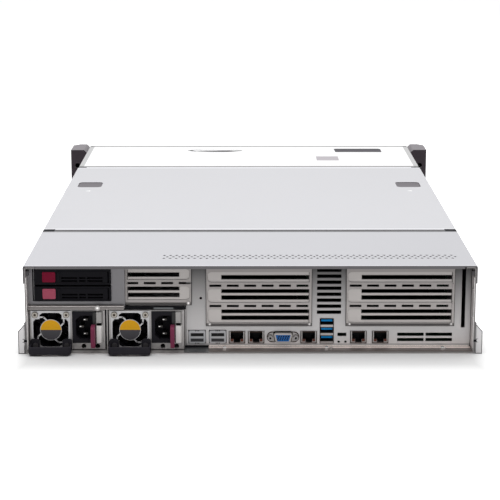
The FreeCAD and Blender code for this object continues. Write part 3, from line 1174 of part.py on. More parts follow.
def make_heat_sinks():
    """Finned sinks on a base plate; the fins run with the air stream."""
    sinks = []
    for side in (-1, 1):
        x0 = side * SINK_X - SINK_W / 2
        pitch = (SINK_W - 0.8) / (SINK_FINS - 1)
        profile = [(x0 + SINK_W, BOARD_TOP + 0.1), (x0, BOARD_TOP + 0.1)]
        for k in range(SINK_FINS):
            left = x0 + k * pitch
            low = BOARD_TOP + 6.0
            points = [(left, low), (left, SINK_H), (left + 0.8, SINK_H), (left + 0.8, low)]
            profile += points[1:] if k == 0 else points[:3] if k == SINK_FINS - 1 else points
        sinks.append(plate("XZ", SINK_Y, SINK_L, profile))
    return sinks


def make_memory():
    """Banks of memory modules on both sides of each heat sink."""
    modules = []
    for side in (-1, 1):
        for start in DIMM_X:
            for k in range(DIMM_BANK):
                x = side * (start + k * DIMM_PITCH)
                modules.append(block((x - DIMM_T / 2, x + DIMM_T / 2), (DIMM_Y, DIMM_Y + DIMM_L),
                                     (BOARD_TOP + 0.1, BOARD_TOP + DIMM_H)))
    return modules


def make_backplanes():
    """Connector boards behind the front bays and behind the rear bays."""
    y = FRONT_CAGE_Y - BOARD_T - 0.8
    front = block((-INNER_X + 4, INNER_X - 4), (y, y + BOARD_T), (FRONT_SHELF_Z[0] + 1, FRONT_SHELF_Z[2]))
    y = CAGE_Y[1] + 0.3
    rear = block((BAY_X0 - 1, BAY_X0 + BAY_W + 1), (y, y + BOARD_T), (CAGE_Z[0] + 1, CAGE_Z[1] - 2))
    return [front, rear]


# ================================================================ pieces
export("chassis_tray", make_tray())
export("rail_stops", *make_rail_stops())
export("rear_panel", make_rear_panel())
export("rear_cover", make_rear_cover())
export("middle_cover", make_middle_cover())
export("front_cover", make_front_cover())
for name, side in (("left", -1), ("right", 1)):
    export("cover_pad_" + name, make_pad(side))
    export("ear_" + name, make_ear(side))
export("power_button", make_power_button())
export("riser_cage_a", make_riser(*RISER_A_X, RISER_A_Z0, SLOT_Z_A, 1, TOP_BAND_A, DASH_START_A))
export("riser_cage_b", make_riser(*RISER_B_X, RISER_Z0, SLOT_Z, -1, TOP_BAND, DASH_START))
riser_c = make_riser(*RISER_C_X, RISER_Z0, SLOT_Z, -1, TOP_BAND, DASH_START)
export("riser_cage_c", fuse(riser_c, *make_hooks()))
export("slot_blanks", *make_blanks())
export("riser_boards", *make_riser_boards())
export("twin_ports", *make_twin_ports())
export("network_jacks", *make_network_jacks())
export("vga_port", *make_vga_port())
export("usb_ports", *make_usb_ports())
export("panel_screws", *make_panel_screws())
for name, x0 in zip(("left", "right"), PSU_X):
    export("psu_" + name + "_case", *make_psu_case(x0))
    export("psu_" + name + "_guard", *make_psu_guard(x0))
    export("psu_" + name + "_handle", make_psu_handle(x0))
    export("psu_" + name + "_inlet", *make_psu_inlet(x0))
    export("psu_" + name + "_latch", *make_psu_latch(x0))
    export("psu_" + name + "_rotor",
           make_rotor(x0 + FAN_X, PSU_Z + FAN_Z, PSU_Y + ROTOR_SET, ROTOR_L, FAN_HUB_R, FAN_TIP_R,
                      7, ROTOR_CHORD, ROTOR_PITCH, PIN_R))
export("rear_drive_cage", make_rear_cage())
for name, z in zip(("lower", "upper"), BAY_Z):
    export("rear_carrier_" + name, *make_rear_carrier(z))
    export("rear_lever_" + name, make_rear_lever(z))
    export("rear_button_" + name, make_rear_button(z))
export("front_cage", make_front_cage())
export("drive_blanks", *make_drive_blanks())
for k in range(FRONT_BAYS):
    export("front_carrier_" + str(k + 1), *make_front_carrier(k))
    export("front_lever_" + str(k + 1), make_front_lever(k))
export("system_board", make_system_board())
export("heat_sinks", *make_heat_sinks())
export("memory_modules", *make_memory())
export("drive_backplanes", *make_backplanes())
frames = []
for k, x in enumerate(FAN80_X):
    z = SHEET + FIT + FAN80 / 2
    motor_y = FAN80_Y + FAN80_ROTOR_SET + FAN80_ROTOR_L + MOTOR_GAP
    frames.append(make_fan_frame(x, z, FAN80_Y, FAN80, FAN80_L, FAN80_BORE_R, FAN80_HUB_R,
                                 motor_y, FAN80_PIN_R, FAN80_PIN_L))
    export("fan_rotor_" + str(k + 1),
           make_rotor(x, z, FAN80_Y + FAN80_ROTOR_SET, FAN80_ROTOR_L, FAN80_HUB_R, FAN80_BORE_R - BLADE_CLEAR,
                      5, FAN80_CHORD, FAN80_PITCH, FAN80_PIN_R))
export("fan_frames", *frames)
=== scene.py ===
"""A rack server two units high: finishes, small fittings, floor, light and camera."""
import bmesh
import bpy
import json
import math
from mathutils import Matrix, Vector


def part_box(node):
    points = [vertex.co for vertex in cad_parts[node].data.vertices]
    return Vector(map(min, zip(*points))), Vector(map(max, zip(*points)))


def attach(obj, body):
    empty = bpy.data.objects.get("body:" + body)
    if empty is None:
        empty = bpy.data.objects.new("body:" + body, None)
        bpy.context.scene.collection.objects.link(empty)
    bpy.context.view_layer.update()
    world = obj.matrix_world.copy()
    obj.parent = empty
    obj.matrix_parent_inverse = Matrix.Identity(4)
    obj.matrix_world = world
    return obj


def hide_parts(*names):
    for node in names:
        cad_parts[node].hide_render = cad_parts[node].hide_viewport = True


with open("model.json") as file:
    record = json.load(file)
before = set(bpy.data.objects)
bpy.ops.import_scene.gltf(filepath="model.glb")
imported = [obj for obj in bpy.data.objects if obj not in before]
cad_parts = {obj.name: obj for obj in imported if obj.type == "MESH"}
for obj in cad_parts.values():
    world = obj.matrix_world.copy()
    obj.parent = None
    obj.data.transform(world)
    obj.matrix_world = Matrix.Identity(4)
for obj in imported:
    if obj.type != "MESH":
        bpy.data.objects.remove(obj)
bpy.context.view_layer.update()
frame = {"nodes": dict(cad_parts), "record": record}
nodes = frame["nodes"]
bodies = frame["record"]["behaviour"]["bodies"]
body_of_node = {node: body for body, names in bodies.items() for node in names}

# ---------------------------------------------------------------- covers
# Three pressed lids of zinc plated steel with a satin finish. Plating leaves a faint grain along the
# rolling direction and slow changes of tone. Light is painted on them: bright painted highlights and dark
# painted shade along their edges and seams, the front lid painted near white as a painted reflection, the
# rear lid painted a little darker and darker still towards +X, and the rolled hems at their rear edges, the
# edge at the seam and the walls of their holes painted dark as shade.


def add_node(tree, kind, operation=None, **inputs):
    """Adds a shader node and sets its operation and its inputs, whose names have _ for a space."""
    node = tree.nodes.new("ShaderNode" + kind)
    if operation:
        node.operation = operation
    for slot, value in inputs.items():
        node.inputs[slot.replace("_", " ")].default_value = value
    return node


def add_math(tree, operation, *values):
    """Adds a node that works out one sum; the values go into its second and third inputs."""
    node = add_node(tree, "Math", operation)
    for slot, value in enumerate(values, 1):
        node.inputs[slot].default_value = value
    return node


def add_tone(tree, colour, less, more):
    """Adds a mix of a darker and a lighter tone of a colour."""
    tone = add_node(tree, "Mix")
    tone.data_type = "RGBA"
    tone.inputs["A"].default_value = [c * less for c in colour] + [1]
    tone.inputs["B"].default_value = [min(1, c * more) for c in colour] + [1]
    return tone


def new_material(name, **inputs):
    """Starts a material: it, its node tree, its shader with the inputs set, and the object coordinates."""
    material = bpy.data.materials.new(name)
    material.use_nodes = True
    tree = material.node_tree
    shader = tree.nodes["Principled BSDF"]
    for slot, value in inputs.items():
        shader.inputs[slot.replace("_", " ")].default_value = value
    return material, tree, shader, add_node(tree, "TexCoord").outputs["Object"]


def plated_steel(name, colour, roughness, grain=0.05, metallic=0.5, along=(4.0, 60.0, 60.0),
                 shade=None, bands=()):
    """Zinc plated sheet: a fine grain drawn out along the rolling direction and a cloudy tone.

    With shade = (axis, start, end, factor) the colour is scaled by the factor from start to end along that
    axis, a painted shade; each of the bands (axis, middle, half width, factor) is a strip with another tone,
    used for painted highlights and painted shade along edges and folds."""
    material, tree, shader, place = new_material(name, Metallic=metallic)
    links = tree.links
    stretch = add_node(tree, "Mapping", Scale=along)
    streak = add_node(tree, "TexNoise", Scale=14.0, Detail=6.0)
    cloud = add_node(tree, "TexNoise", Scale=9.0, Detail=3.0)
    tone = add_tone(tree, colour, 1 - grain, 1 + grain)
    half = add_math(tree, "MULTIPLY", 0.5)
    blend = add_math(tree, "MULTIPLY_ADD", 0.5)
    sheen = add_node(tree, "MapRange", To_Min=roughness - 0.06, To_Max=roughness + 0.06)
    relief = add_node(tree, "Bump", Strength=0.06, Distance=0.0002)
    links.new(place, stretch.inputs["Vector"])
    links.new(place, cloud.inputs["Vector"])
    links.new(stretch.outputs["Vector"], streak.inputs["Vector"])
    links.new(streak.outputs["Fac"], blend.inputs[0])
    links.new(cloud.outputs["Fac"], half.inputs[0])
    links.new(half.outputs["Value"], blend.inputs[2])
    links.new(blend.outputs["Value"], tone.inputs["Factor"])
    links.new(blend.outputs["Value"], sheen.inputs["Value"])
    links.new(sheen.outputs["Result"], shader.inputs["Roughness"])
    links.new(streak.outputs["Fac"], relief.inputs["Height"])
    links.new(relief.outputs["Normal"], shader.inputs["Normal"])
    apart = add_node(tree, "SeparateXYZ")
    links.new(place, apart.inputs["Vector"])
    factors = []
    if shade:
        axis, start, end, factor = shade
        fade = add_node(tree, "MapRange", From_Min=start, From_Max=end, To_Min=1.0, To_Max=factor)
        links.new(apart.outputs[axis], fade.inputs["Value"])
        factors.append(fade.outputs["Result"])
    for axis, middle, half_width, factor in bands:
        within = add_math(tree, "COMPARE", middle, half_width)
        strip = add_node(tree, "MapRange", To_Min=1.0, To_Max=factor)
        links.new(apart.outputs[axis], within.inputs[0])
        links.new(within.outputs["Value"], strip.inputs["Value"])
        factors.append(strip.outputs["Result"])
    colour_now = tone.outputs["Result"]
    for factor in factors:
        scale = add_node(tree, "VectorMath", "SCALE")
        links.new(colour_now, scale.inputs[0])
        links.new(factor, scale.inputs["Scale"])
        colour_now = scale.outputs["Vector"]
    links.new(colour_now, shader.inputs["Base Color"])
    return material


def dress(node, material):
    """Gives a carried-over piece its finish."""
    mesh = nodes[node].data
    mesh.materials.clear()
    mesh.materials.append(material)


def dress_by_face(node, choose, rim=None):
    """A piece like the node; choose(low, high, face) gives the finish of each face of a solid.

    A face without a finish (None) is left out, for a solid that another piece stands for. With
    rim = (width, finish, chosen) the faces for which chosen(low, high, face) holds get an edge line of that
    width, a painted shade line. Gives back the box of every solid."""
    shape = bmesh.new()
    shape.from_mesh(nodes[node].data)
    bmesh.ops.remove_doubles(shape, verts=shape.verts, dist=1e-6)
    bmesh.ops.recalc_face_normals(shape, faces=shape.faces)
    boxes, framed, left_out = [], [], []
    mesh = bpy.data.meshes.new(node + "_dressed")
    waiting = dict.fromkeys(shape.faces)      # keeps its order, so that every run gives the same pieces
    while waiting:
        solid, edge = [], [waiting.popitem()[0]]
        while edge:
            face = edge.pop()
            solid.append(face)
            for neighbour in (f for v in face.verts for f in v.link_faces):
                if neighbour in waiting:
                    del waiting[neighbour]
                    edge.append(neighbour)
        corners = [v.co for face in solid for v in face.verts]
        low = Vector([min(c[i] for c in corners) for i in range(3)])
        high = Vector([max(c[i] for c in corners) for i in range(3)])
        boxes.append((low, high))
        for face in solid:
            material = choose(low, high, face)
            if material is None:
                left_out.append(face)
                continue
            if material.name not in mesh.materials:
                mesh.materials.append(material)
            face.material_index = mesh.materials.find(material.name)
            if rim and rim[2](low, high, face):
                framed.append(face)
    if framed:
        mesh.materials.append(rim[1])
        lines = bmesh.ops.inset_region(shape, faces=framed, thickness=rim[0], use_even_offset=True)["faces"]
        for face in lines:
            face.material_index = len(mesh.materials) - 1
    bmesh.ops.delete(shape, geom=left_out, context="FACES")
    shape.to_mesh(mesh)
    shape.free()
    piece = bpy.data.objects.new(node + "_dressed", mesh)
    bpy.context.collection.objects.link(piece)
    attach(piece, body_of_node[node])
    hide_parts(node)
    return boxes


def edge_band(axis, edge, inward, half_width, factor):
    """A band of painted highlight or painted shade along an edge; the sheet lies inward (1 or -1) of it."""
    return axis, edge + inward * half_width, half_width, factor


REAR_FACE = 0.0015        # faces this near the rear edge belong to its rim
HOLES_IN = (0.010, 0.004)          # no hole is nearer to a side or to the front and rear edges than this
SKIN = 0.0012             # the walls of holes lie no deeper than this below the top
rear_low, rear_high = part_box("rear_cover")
middle_low, middle_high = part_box("middle_cover")
front_low, front_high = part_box("front_cover")
# painted highlights: bright bands along the rear and front edges of the middle lid
lid_finish = plated_steel("lid_steel", (0.525, 0.525, 0.548), 0.42, grain=0.035, metallic=0.15,
                          bands=[edge_band("Y", middle_low.y, 1, 0.0035, 1.22),
                                 edge_band("Y", middle_high.y, -1, 0.004, 1.3)])
# painted shade: the rear lid is painted darker towards +X and in a band along its front edge at the seam; a
# painted highlight runs along its rear edge
rear_lid_finish = plated_steel("rear_lid_steel", (0.485, 0.485, 0.512), 0.42, grain=0.035, metallic=0.15,
                               shade=("X", -0.20, 0.20, 0.93),
                               bands=[edge_band("Y", rear_high.y, -1, 0.0042, 0.20),
                                      edge_band("Y", rear_low.y, 1, 0.001, 1.4)])
# painted reflection: the front lid is painted near white for the bright backdrop it mirrors, with painted
# shade bands along its rear, front and side edges
front_lid_finish = plated_steel("front_lid_steel", (0.86, 0.86, 0.865), 0.36, grain=0.01, metallic=0.1,
                                bands=[edge_band("Y", front_low.y, 1, 0.0042, 0.22),
                                       edge_band("Y", front_high.y, -1, 0.005, 0.32),
                                       edge_band("X", front_low.x, 1, 0.003, 0.5),
                                       edge_band("X", front_high.x, -1, 0.003, 0.5)])
# painted shade: the rear edges of the lids, the edge at the seam and the walls of their holes are painted
# dark
hem_shade = plated_steel("hem_shade_steel", (0.11, 0.105, 0.11), 0.45)
seam_shade = plated_steel("seam_shade_steel", (0.02, 0.02, 0.022), 0.6, metallic=0.2)
hole_shade = plated_steel("hole_shade_steel", (0.03, 0.028, 0.034), 0.5, metallic=0.3)


def on_lid(face, low, high, rear, skin):
    """The finish of a lid: its rear edge and the walls of its holes, both painted dark as shade, or its skin.
    """
    at = face.calc_center_median()
    if face.normal.y < -0.7 and at.y < low.y + REAR_FACE:
        return rear
    inside = (low.x + HOLES_IN[0] < at.x < high.x - HOLES_IN[0]
              and low.y + HOLES_IN[1] < at.y < high.y - HOLES_IN[1])
    return hole_shade if inside and abs(face.normal.z) < 0.3 and at.z > high.z - SKIN else skin


dress_by_face("middle_cover", lambda low, high, face: on_lid(face, low, high, seam_shade, lid_finish))
dress_by_face("front_cover", lambda low, high, face: on_lid(face, low, high, hem_shade, front_lid_finish))
dress_by_face("rear_cover", lambda low, high, face: on_lid(face, low, high, hem_shade, rear_lid_finish))

# ---------------------------------------------------------------- marks on the covers
# A bare grey label and a dark catch window near the front edge, a black sheet of painted shade in the
# crescent finger hole, black notches of painted shade at both ends of the seam between the lids, and a small
# white arrow behind each release pad.
LABEL = (0.0890, 0.1180, 0.0510, 0.0830)         # across, and in front of the rear edge of the lid
WINDOW = (0.1165, 0.1790, 0.0285, 0.0540)        # across, and back from the front edge of the lid
CRESCENT = (-0.0455, 0.0375, 0.0410, 0.0115)     # middle, half width, back from the front edge, half depth
NOTCH = (0.2058, 0.2175, 0.0075, 0.0030)         # across, and behind and in front of the seam
ARROW = 0.0042                                   # from its middle to its corners
ARROW_BEHIND = 0.022                             # its middle, behind the rear edge of the pad
PROUD = 0.00002                                  # ink, labels and flat discs stand this little proud
CRESCENT_SIDES = 40
LABEL_T, WINDOW_T, SHADE_T = 0.0001, 0.0006, 0.0004


def piece_from(shape, name, material, body):
    """Turns a finished bmesh into a piece that rides on a body."""
    bmesh.ops.recalc_face_normals(shape, faces=shape.faces)
    mesh = bpy.data.meshes.new(name)
    shape.to_mesh(mesh)
    shape.free()
    mesh.materials.append(material)
    piece = bpy.data.objects.new(name, mesh)
    bpy.context.collection.objects.link(piece)
    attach(piece, body)


def add_slab(shape, low, high):
    """Adds a box between two corners."""
    low, high = Vector(low), Vector(high)
    size = high - low
    place = Matrix.Translation((low + high) / 2) @ Matrix.Diagonal([abs(c) for c in size] + [1.0])
    bmesh.ops.create_cube(shape, size=1.0, matrix=place)


def add_disc(shape, centre, radius, thickness, sides=24):
    """Adds a flat disc that faces the rear."""
    place = Matrix.Translation(centre) @ Matrix.Rotation(math.radians(90), 4, "X")
    bmesh.ops.create_cone(shape, cap_ends=True, segments=sides, radius1=radius, radius2=radius,
                          depth=thickness, matrix=place)


def flat_paint(name, colour, roughness=0.5, specular=0.3, metallic=0.0):
    """Printed ink, paint, a small plain moulding or a sheet of painted shade, slightly uneven."""
    material, tree, shader, place = new_material(name, Roughness=roughness, Specular_IOR_Level=specular,
                                                 Metallic=metallic)
    speck = add_node(tree, "TexNoise", Scale=900.0)
    tone = add_tone(tree, colour, 0.92, 1.08)
    tree.links.new(place, speck.inputs["Vector"])
    tree.links.new(speck.outputs["Fac"], tone.inputs["Factor"])
    tree.links.new(tone.outputs["Result"], shader.inputs["Base Color"])
    return material


label_paper = flat_paint("label_paper", (0.42, 0.395, 0.42), 0.6)
window_plastic = flat_paint("window_plastic", (0.030, 0.028, 0.036), 0.5, 0.2)
# painted shade: the black sheet in the crescent finger hole stands for the shade inside it
crescent_shade_black = flat_paint("crescent_shade_black", (0.012, 0.012, 0.016), 0.5, 0.1)
# painted shade: black sheets laid where there is shade, in the notches of the seam, the slots of the rail
# stops and the gaps round the power supplies
painted_shade_black = flat_paint("painted_shade_black", (0.006, 0.006, 0.008), 0.7, 0.1)
white_ink = flat_paint("white_ink", (0.80, 0.80, 0.80), 0.6)
lid_top = front_high.z + PROUD
shape = bmesh.new()
add_slab(shape, (LABEL[0], front_low.y + LABEL[2], lid_top - LABEL_T),
         (LABEL[1], front_low.y + LABEL[3], lid_top))
piece_from(shape, "lid_label", label_paper, "chassis")
shape = bmesh.new()
add_slab(shape, (WINDOW[0], front_high.y - WINDOW[3], lid_top - WINDOW_T),
         (WINDOW[1], front_high.y - WINDOW[2], lid_top))
piece_from(shape, "catch_window", window_plastic, "chassis")
shape = bmesh.new()
bmesh.ops.create_circle(shape, cap_ends=True, segments=CRESCENT_SIDES, radius=1.0)
for corner in shape.verts:
    u = corner.co.x
    depth = math.copysign(CRESCENT[3] * (1 - abs(u) ** 3), corner.co.y)
    corner.co = Vector((CRESCENT[0] + u * CRESCENT[1], front_high.y - CRESCENT[2] + depth, lid_top))
bmesh.ops.extrude_face_region(shape, geom=shape.faces[:], use_keep_orig=True)
bmesh.ops.translate(shape, verts=shape.verts[:][CRESCENT_SIDES:], vec=(0, 0, -SHADE_T))
piece_from(shape, "crescent_shadow_sheet", crescent_shade_black, "chassis")
for side, sign in (("left", -1), ("right", 1)):
    shape = bmesh.new()
    add_slab(shape, (sign * NOTCH[0], middle_low.y - NOTCH[2], lid_top - SHADE_T),
             (sign * NOTCH[1], middle_low.y + NOTCH[3], lid_top))
    piece_from(shape, "seam_notch_shade_" + side, painted_shade_black, body_of_node["rear_cover"])
for side in ("left", "right"):
    pad_low, pad_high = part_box("cover_pad_" + side)
    place = Matrix.Translation(((pad_low.x + pad_high.x) / 2, pad_low.y - ARROW_BEHIND, lid_top))
    shape = bmesh.new()
    bmesh.ops.create_cone(shape, cap_ends=True, segments=3, radius1=ARROW, radius2=ARROW, depth=PROUD,
                          matrix=place @ Matrix.Rotation(math.radians(90), 4, "Z"))
    piece_from(shape, "arrow_" + side, white_ink, "middle_cover")

# ---------------------------------------------------------------- chassis
# Folded zinc plated steel, duller than the covers and slightly warm. The rail stops riveted on at the rear
# are brighter, with painted shade round their rear faces, in their slots and in a stripe beside each wall.
# The side walls show a fold with a lighter strip of painted light, a painted highlight line, rivets and a
# screw painted dark as shade beside the power supplies. The cut edge of the floor has a painted shade line
# above a painted highlight line, and the screws in the panel carry a painted highlight in their middle.
STOP_LINE = 0.0007        # painted shade line round the rear face of a rail stop
STOP_SLOT = (0.0048, 0.0086, 0.0118, 0.0140)     # from and to the stop's outer edge, bottom and top
SLOT_PROUD, SLOT_DEEP = 0.00005, 0.0004
STOP_RIVET = (0.0040, 0.0132, 0.0016)            # from the outer edge, its height and its radius
STOP_STRIPE = (0.0006, 0.0007, 0.50)             # stripe of painted shade: beside the wall, half width, tone
WALL_IN = 0.0012          # thickness of a side wall
RIVET = (0.0006, 0.0060, 0.0130)                 # how proud of the wall, and from and to its rear edge
# the LINE slab is a painted highlight along the inner wall
LINE = (0.0004, 0.0010, 0.0030)
SCREW = (0.0025, 0.0020, 0.0070)
# the FOLD slab is a lighter strip of painted light at the fold of the wall
FOLD = (0.0003, 0.0034, 0.0200)
RIVETS_AT = (0.0622, 0.0344)                     # heights of the rivets
RIVET_R = 0.0010
SCREW_AT = 0.0798         # height of the screw
SCREW_DOWN, SCREW_UP = 0.0025, 0.0020
WALL_ENDS = (0.004, SCREW_AT - 0.004)            # heights between which the line and the fold run
FLOOR_EDGE = 0.005        # the cut edge of the floor lies below this height
SCREWS_FROM = 0.010       # fasteners below this height are the rivets of the foot
SCREW_GLINT = 0.22        # painted highlight in the middle of a screw, as a share of its head
SHINE_UP = 0.0001         # and this little above its middle
DISC_T = 0.0001           # thickness of the flat discs drawn on screws and ports
chassis_low, chassis_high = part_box("chassis_tray")
stop_low, stop_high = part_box("rail_stops")
chassis_finish = plated_steel("chassis_steel", (0.40, 0.385, 0.38), 0.36)
# painted shade: a dark finish for lines and faces in shade, round the rear faces of the rail stops, on the
# sides of cages and fillers, on a wall screw and on the guard screws behind the handle
edge_shade = plated_steel("edge_shade_steel", (0.06, 0.055, 0.06), 0.5, metallic=0.3)
stop_finish = plated_steel("stop_steel", (0.70, 0.685, 0.69), 0.34, grain=0.04, metallic=0.3,
                           bands=[("X", side * (chassis_high.x + STOP_STRIPE[0]), *STOP_STRIPE[1:])
                                  for side in (-1, 1)])
wall_edge = plated_steel("wall_edge", (0.20, 0.19, 0.19), 0.4, metallic=0.3)
# painted shade along the top of the floor's cut edge and a painted highlight along its bottom
floor_edge = plated_steel("floor_edge", (0.40, 0.385, 0.38), 0.36,
                          bands=[("Z", 0.0010, 0.0004, 0.5), ("Z", 0.0003, 0.0003, 1.8)])
recess_shade = flat_paint("recess_shade", (0.045, 0.032, 0.022), 0.6, 0.1)
glint_metal = plated_steel("glint_metal", (0.93, 0.915, 0.90), 0.16, grain=0.02, metallic=1.0)
screw_finish = plated_steel("screw_steel", (0.36, 0.345, 0.34), 0.30, metallic=0.5)
rivet_metal = plated_steel("rivet_metal", (0.72, 0.70, 0.69), 0.22, grain=0.03, metallic=0.9)
fold_light = plated_steel("fold_light_steel", (0.66, 0.62, 0.61), 0.45, metallic=0.2)


def on_tray(low, high, face):
    """The finish of the tray: the cut edges of its walls and of its floor at the rear, the floor's edge with
    painted shade and painted highlight lines, or its skin.
    """
    at = face.calc_center_median()
    if face.normal.y > -0.7 or at.y > low.y + REAR_FACE:
        return chassis_finish
    return wall_edge if at.z > FLOOR_EDGE else floor_edge


def to_the_rear(depth=math.inf):
    """Chooses the faces that look to the rear, no further in than the depth from the rear of their solid."""
    return lambda low, high, face: face.normal.y < -0.9 and face.calc_center_median().y < low.y + depth


def add_on_wall(shape, side, trim, bottom, top):
    """Adds a slab to the inside of a side wall."""
    proud, near, far = trim
    inner = side * (chassis_high.x - WALL_IN)
    add_slab(shape, (inner, chassis_low.y + near, bottom), (inner - side * proud, chassis_low.y + far, top))


dress("front_cage", chassis_finish)
dress_by_face("chassis_tray", on_tray)
dress_by_face("rail_stops", lambda low, high, face: stop_finish,
              rim=(STOP_LINE, edge_shade, to_the_rear()))
screws = dress_by_face("panel_screws",
                       lambda low, high, face: glint_metal if high.z < SCREWS_FROM else screw_finish)
# painted highlight: a bright disc in the middle of each screw head
shape = bmesh.new()
for low, high in screws:
    if low.z > SCREWS_FROM:
        add_disc(shape, ((low.x + high.x) / 2, low.y - PROUD, (low.z + high.z) / 2 + SHINE_UP),
                 SCREW_GLINT * (high.x - low.x), DISC_T, sides=6)
piece_from(shape, "screw_glints", rivet_metal, "chassis")
for side, word in ((-1, "left"), (1, "right")):
    shape = bmesh.new()
    for height in RIVETS_AT:
        add_on_wall(shape, side, RIVET, height - RIVET_R, height + RIVET_R)
    add_on_wall(shape, side, LINE, *WALL_ENDS)
    piece_from(shape, "wall_rivets_and_glint_" + word, rivet_metal, "chassis")
    shape = bmesh.new()
    add_on_wall(shape, side, SCREW, SCREW_AT - SCREW_DOWN, SCREW_AT + SCREW_UP)
    piece_from(shape, "wall_screw_" + word, edge_shade, "chassis")
    shape = bmesh.new()
    add_on_wall(shape, side, FOLD, *WALL_ENDS)
    piece_from(shape, "wall_fold_light_" + word, fold_light, "chassis")
    outer = stop_high.x if side > 0 else stop_low.x
    # painted shade: a black sheet in the slot of the rail stop
    shape = bmesh.new()
    add_slab(shape, (outer - side * STOP_SLOT[0], stop_low.y - SLOT_PROUD, STOP_SLOT[2]),
             (outer - side * STOP_SLOT[1], stop_low.y + SLOT_DEEP, STOP_SLOT[3]))
    piece_from(shape, "stop_slot_" + word, painted_shade_black, "chassis")
    shape = bmesh.new()
    add_disc(shape, (outer - side * STOP_RIVET[0], stop_low.y - PROUD, STOP_RIVET[1]), STOP_RIVET[2], DISC_T)
    piece_from(shape, "stop_rivet_" + word, stop_finish, "chassis")

# ---------------------------------------------------------------- rear panel
# One sheet of the same steel, painted darker towards the top as the shade under the covers and in a darker
# line at the foot of its wall, with a darker foot flange towards the rear edge that carries a painted
# highlight along its fold, and a painted highlight line at the foot of the wall. Black sheets of painted
# shade fill the gaps beside and above the power supplies.
FOOT_IN = 0.0220          # the foot flange starts this far from the left edge of the panel
FOOT_HIGHLIGHT = 0.0116        # the painted highlight along the fold, from the outer edge of the foot
FOOT_TOP = 0.0022         # faces below this height, from the foot of the panel, belong to the flange
PANEL_BACK = 0.0102       # from the front of the panel's flanges to its wall
FOOT_RIM = (0.0006, 0.0006, 0.0019)              # painted highlight line at the foot of the wall: depth, bottom and top
LUG = (0.0015, 0.0050, 0.0066, 0.0009, 0.0034)   # half width, from and to the outer edge, bottom and top
LUGS = (0.0376, 0.1370, 0.2500)                  # small bright lugs bent up, from the panel's left edge
SHADE_STRIP_LOW = (0.0015, 0.0002, 0.0004, 0.0018)      # past the left edge, depth, below and above the foot
SHADE_STRIP_TOP = (0.0050, 0.0100, 0.0102, 0.0002)      # short of riser a, from and to the outer edge, below riser a
TAB = (-0.0314, -0.0124, 0.0096, 0.0099, 0.0022) # across from that edge, from and to the outer edge, top
SHEET_LOW, SHEET_TOP = 0.00125, 0.0013           # the dull strip that lies on the floor of the tray
panel_low, panel_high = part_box("rear_panel")
wall_face = panel_high.y - PANEL_BACK
supply_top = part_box("psu_right_case")[1].z
above_supply = supply_top + 0.0004
riser_low, riser_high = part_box("riser_cage_a")
dull_steel = plated_steel("dull_steel", (0.11, 0.115, 0.12), 0.3, grain=0.12, metallic=0.6)
# painted shade: the wall is painted darker towards the top, under the covers, and in a line at its foot
panel_finish = plated_steel("panel_steel", (0.72, 0.70, 0.70), 0.42, grain=0.05, along=(8.0, 60.0, 60.0),
                            shade=("Z", 0.008, 0.080, 0.08),
                            bands=[("Z", panel_low.z + 0.0022, 0.0014, 0.70)])
# painted highlight: a bright band along the fold of the foot
foot_finish = plated_steel("foot_steel", (0.17, 0.145, 0.135), 0.42, grain=0.30, metallic=0.35,
                           along=(30.0, 6.0, 60.0),
                           bands=[("Y", panel_low.y + FOOT_HIGHLIGHT, 0.0028, 5.6)])


def on_panel(low, high, face):
    """The finish of the panel: its foot flange, or its wall."""
    at = face.calc_center_median()
    on_foot = at.z < low.z + FOOT_TOP and abs(face.normal.z) > 0.5 or at.y < low.y + 0.001
    return foot_finish if on_foot else panel_finish


dress_by_face("rear_panel", on_panel)
# painted shade: black sheets in the gaps beside and above the power supplies
shape = bmesh.new()
add_slab(shape, (panel_low.x - SHADE_STRIP_LOW[0], wall_face, panel_low.z - SHADE_STRIP_LOW[2]),
         (panel_low.x + FOOT_IN, wall_face + SHADE_STRIP_LOW[1], panel_low.z + SHADE_STRIP_LOW[3]))
add_slab(shape, (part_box("rear_drive_cage")[1].x, panel_low.y + SHADE_STRIP_TOP[1], above_supply),
         (riser_high.x - SHADE_STRIP_TOP[0], panel_low.y + SHADE_STRIP_TOP[2], riser_low.z - SHADE_STRIP_TOP[3]))
piece_from(shape, "shade_strips", painted_shade_black, "chassis")
shape = bmesh.new()
add_slab(shape, (panel_low.x + FOOT_IN, wall_face - FOOT_RIM[0], panel_low.z + FOOT_RIM[1]),
         (chassis_high.x - 0.0030, wall_face, panel_low.z + FOOT_RIM[2]))
for across in LUGS:
    add_slab(shape, (panel_low.x + across - LUG[0], panel_low.y + LUG[1], panel_low.z + LUG[3]),
             (panel_low.x + across + LUG[0], panel_low.y + LUG[2], panel_low.z + LUG[4]))
piece_from(shape, "foot_highlight_and_lugs", glint_metal, "chassis")
shape = bmesh.new()
add_slab(shape, (panel_low.x - 0.0020, chassis_low.y + 0.0003, chassis_low.z + SHEET_LOW),
         (panel_low.x + FOOT_IN, wall_face, chassis_low.z + SHEET_TOP))
add_slab(shape, (panel_low.x + TAB[0], panel_low.y + TAB[2], above_supply),
         (panel_low.x + TAB[1], panel_low.y + TAB[3], supply_top + TAB[4]))
piece_from(shape, "tray_edge", dull_steel, "chassis")

# ---------------------------------------------------------------- risers and blanks
# Riser cages and slot fillers of thin plated sheet; the fillers are a tone lighter than the cages. Both
# are painted darker towards the covers as shade, with painted shade on their side faces and round the
# fillers' rear faces, and the fine dark gap round each cage where it stands in the panel is a strip of
# painted shade.
GAP = 0.0006              # between a riser cage and the panel
GAP_T = 0.0001
CAGE_PROUD = 0.0029       # the rear of a cage stands this far out of the panel's wall
BLANK_LINE = 0.0004       # painted shade line round the rear face of a filler
